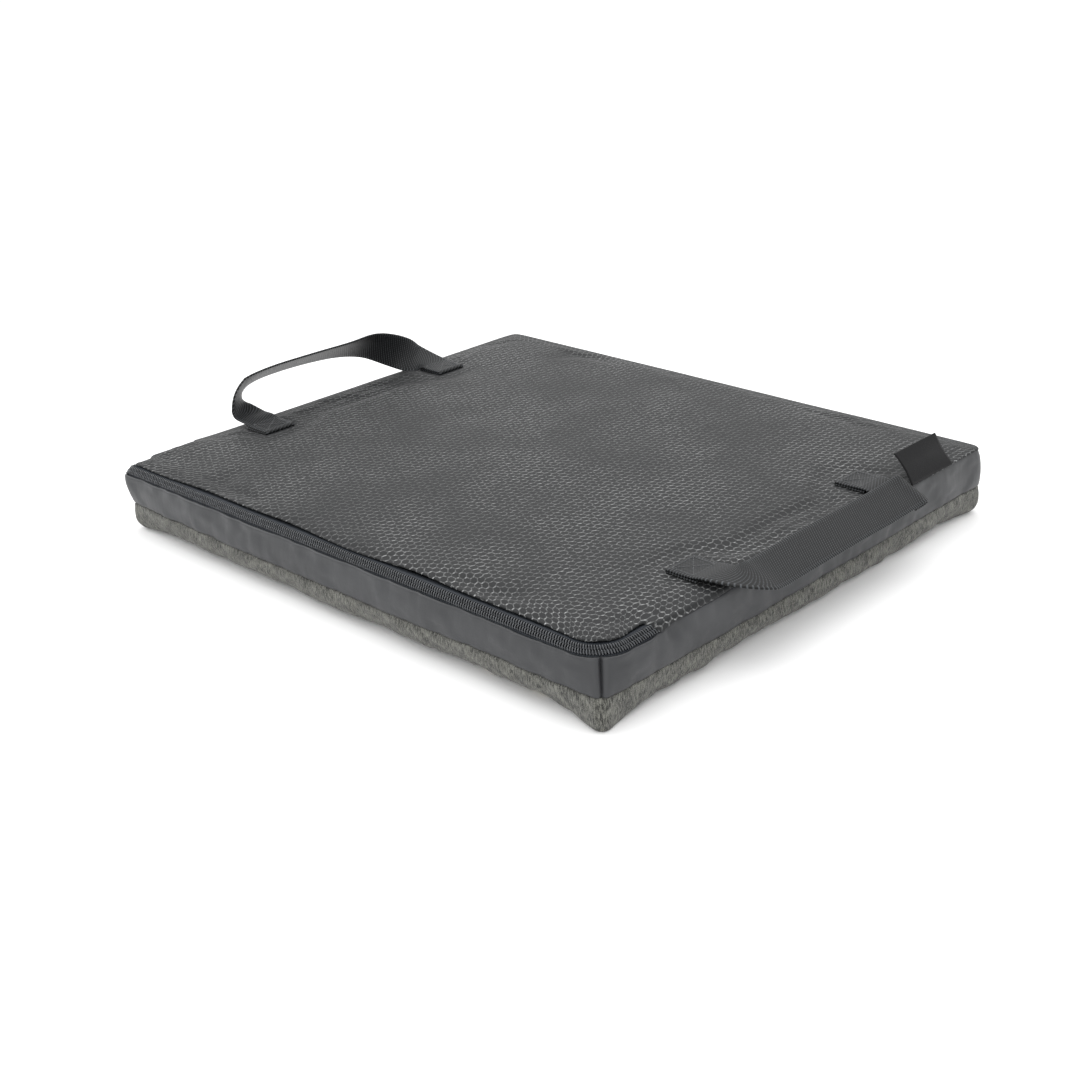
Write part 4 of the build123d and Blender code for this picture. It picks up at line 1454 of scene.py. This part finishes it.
class PAD_OT_zip(bpy.types.Operator):
    """Makes the zip's tapes and coils, and finishes its slider, puller and stops"""

    bl_idname = "pad.zip"
    bl_label = "Zip"

    def execute(self, context):
        tape, coil, metal = zip_tape_cloth(), nylon_coil(), enamelled_zinc()
        for level, row in (("upper", -1), ("lower", 1)):
            strip = zip_tape(f"{level}_tape", row < 0, tape)
            stands_for(strip, "pad", "zip_tape", f"zip_{level}_tape")
            loops = zip_coil(f"{level}_coil_loops", row, coil)
            stands_for(loops, "pad", "zip_coil", f"zip_{level}_coil")
        for node in ("zip_slider", "zip_puller", "zip_top_stops", "zip_bottom_stop"):
            dress(node, metal)
        return {"FINISHED"}


class PAD_OT_handles(bpy.types.Operator):
    """Makes both webbing handles, their box stitches and the patches under them"""

    bl_idname = "pad.handles"
    bl_label = "Handles"

    def execute(self, context):
        webbing, thread = polypropylene_webbing(), bonded_thread()
        for name, side, loop in (("left", -1, RAISED), ("right", 1, DRAPED)):
            piece = handle_webbing(f"{name}_webbing", side, loop, webbing)
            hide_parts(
                f"{name}_handle_strap",
                f"{name}_handle_front_tab",
                f"{name}_handle_rear_tab",
            )
            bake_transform(piece)
            stitches = box_stitches(f"{name}_box_stitches", side, thread)
            stands_for(stitches, "pad", "thread", f"{name}_handle_stitching")
        dress("handle_backing_patches", plain_backing())
        return {"FINISHED"}


class PAD_OT_tag(bpy.types.Operator):
    """Makes the blank side tag"""

    bl_idname = "pad.tag"
    bl_label = "Side tag"

    def execute(self, context):
        piece, flat = folded_tag("blank_tag", satin_ribbon())
        stands_for(piece, "tag", "tag_ribbon", "side_tag")
        return {"FINISHED"}


def looking(right, up, back, spot):
    """The matrix of an object at spot with these axes."""
    rows = np.eye(4)
    rows[:3] = np.stack([right, up, back, spot], 1)
    return Matrix(rows.tolist())


def area_light(name, spot, width, tall, power):
    """A rectangular lamp at spot that faces the pad, its power in watts."""
    data = bpy.data.lights.new(name, "AREA")
    data.shape = "RECTANGLE"
    data.size, data.size_y, data.energy = width, tall, power
    lamp = bpy.data.objects.new(name, data)
    back = unit(np.array(spot, float))
    right = unit(np.cross((0.0, 0.0, 1.0), back) + 1e-9)
    lamp.matrix_world = looking(right, np.cross(back, right), back, spot)
    bpy.context.scene.collection.objects.link(lamp)


# The camera's lens in millimetres, its place in metres, and its yaw, its pitch downwards
# and its roll in degrees.
CAMERA_LENS = 54.683
CAMERA_SPOT = (0.74635, -0.78119, 0.463)
CAMERA_TURNS = (-44.107, 23.904, -2.138)
FLOOR_REACH, FLOOR_Z = 40000, -0.3


class PAD_OT_stage(bpy.types.Operator):
    """Makes the floor, the lamps and the camera"""

    bl_idname = "pad.stage"
    bl_label = "Studio"

    def execute(self, context):
        scene = context.scene
        # The floor is level and reaches so far that it fills the view behind the pad.
        reach = np.linspace(-FLOOR_REACH, FLOOR_REACH, 9)
        x, y = np.meshgrid(reach, reach, indexing="ij")
        points = np.stack([x, y, np.full(x.shape, FLOOR_Z)], -1)
        floor = surface("studio_floor", points, studio_paper(), points[..., :2], wall=0)
        area_light("overhead", (-0.2, 0.5, 2.3), 2.6, 2.6, 34)
        area_light("front_fill", (1.3, -2.2, 1.2), 2.0, 1.4, 16)
        area_light("left_key", (-2.3, -0.9, 1.5), 1.4, 1.2, 20)
        world = bpy.data.worlds.new("studio_world")
        scene.world = world
        world.use_nodes = True
        back = world.node_tree.nodes["Background"]
        back.inputs["Color"].default_value = (1.0, 1.0, 1.0, 1)
        back.inputs["Strength"].default_value = 1.12
        scene.view_settings.view_transform = "Standard"
        data = bpy.data.cameras.new("camera")
        data.lens, data.sensor_width, data.clip_end = CAMERA_LENS, 36.0, 200.0
        camera = bpy.data.objects.new("camera", data)
        yaw, pitch, roll = np.radians(CAMERA_TURNS)
        ahead = np.array([np.sin(yaw), np.cos(yaw), 0.0]) * np.cos(pitch)
        ahead[2] = -np.sin(pitch)
        level = np.array([np.cos(yaw), -np.sin(yaw), 0.0])
        rise = np.cross(level, ahead)
        right = level * np.cos(roll) + rise * np.sin(roll)
        up = rise * np.cos(roll) - level * np.sin(roll)
        camera.matrix_world = looking(right, up, -ahead, CAMERA_SPOT)
        scene.collection.objects.link(camera)
        scene.camera = camera
        return {"FINISHED"}


class PAD_PT_panel(bpy.types.Panel):
    """The kneeling pad's sizes, colours and steps"""

    bl_idname = "PAD_PT_panel"
    bl_label = "Kneeling Pad"
    bl_space_type = "VIEW_3D"
    bl_region_type = "UI"
    bl_category = "Kneeling Pad"

    def draw(self, context):
        column = self.layout.column()
        for group in (context.scene.pad_sizes, context.scene.pad_colours):
            for key in group.__annotations__:
                column.prop(group, key)
        for step in STEPS:
            column.operator(step.bl_idname)


STEPS = (
    PAD_OT_settle,
    PAD_OT_foam,
    PAD_OT_top_panel,
    PAD_OT_bands,
    PAD_OT_knit,
    PAD_OT_zip,
    PAD_OT_handles,
    PAD_OT_tag,
    PAD_OT_stage,
)


def register():
    """Adds the classes, and the sizes and colours to the scene."""
    for group in (PadSizes, PadColours, *STEPS, PAD_PT_panel):
        bpy.utils.register_class(group)
    bpy.types.Scene.pad_sizes = PointerProperty(type=PadSizes)
    bpy.types.Scene.pad_colours = PointerProperty(type=PadColours)


def unregister():
    """Takes away what register() added."""
    del bpy.types.Scene.pad_colours
    del bpy.types.Scene.pad_sizes
    for group in reversed((PadSizes, PadColours, *STEPS, PAD_PT_panel)):
        bpy.utils.unregister_class(group)


def main():
    """Registers the add-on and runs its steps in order."""
    register()
    bpy.ops.pad.settle()
    bpy.ops.pad.foam()
    bpy.ops.pad.top_panel()
    bpy.ops.pad.bands()
    bpy.ops.pad.knit()
    bpy.ops.pad.zip()
    bpy.ops.pad.handles()
    bpy.ops.pad.tag()
    bpy.ops.pad.stage()


if __name__ == "__main__":
    main()
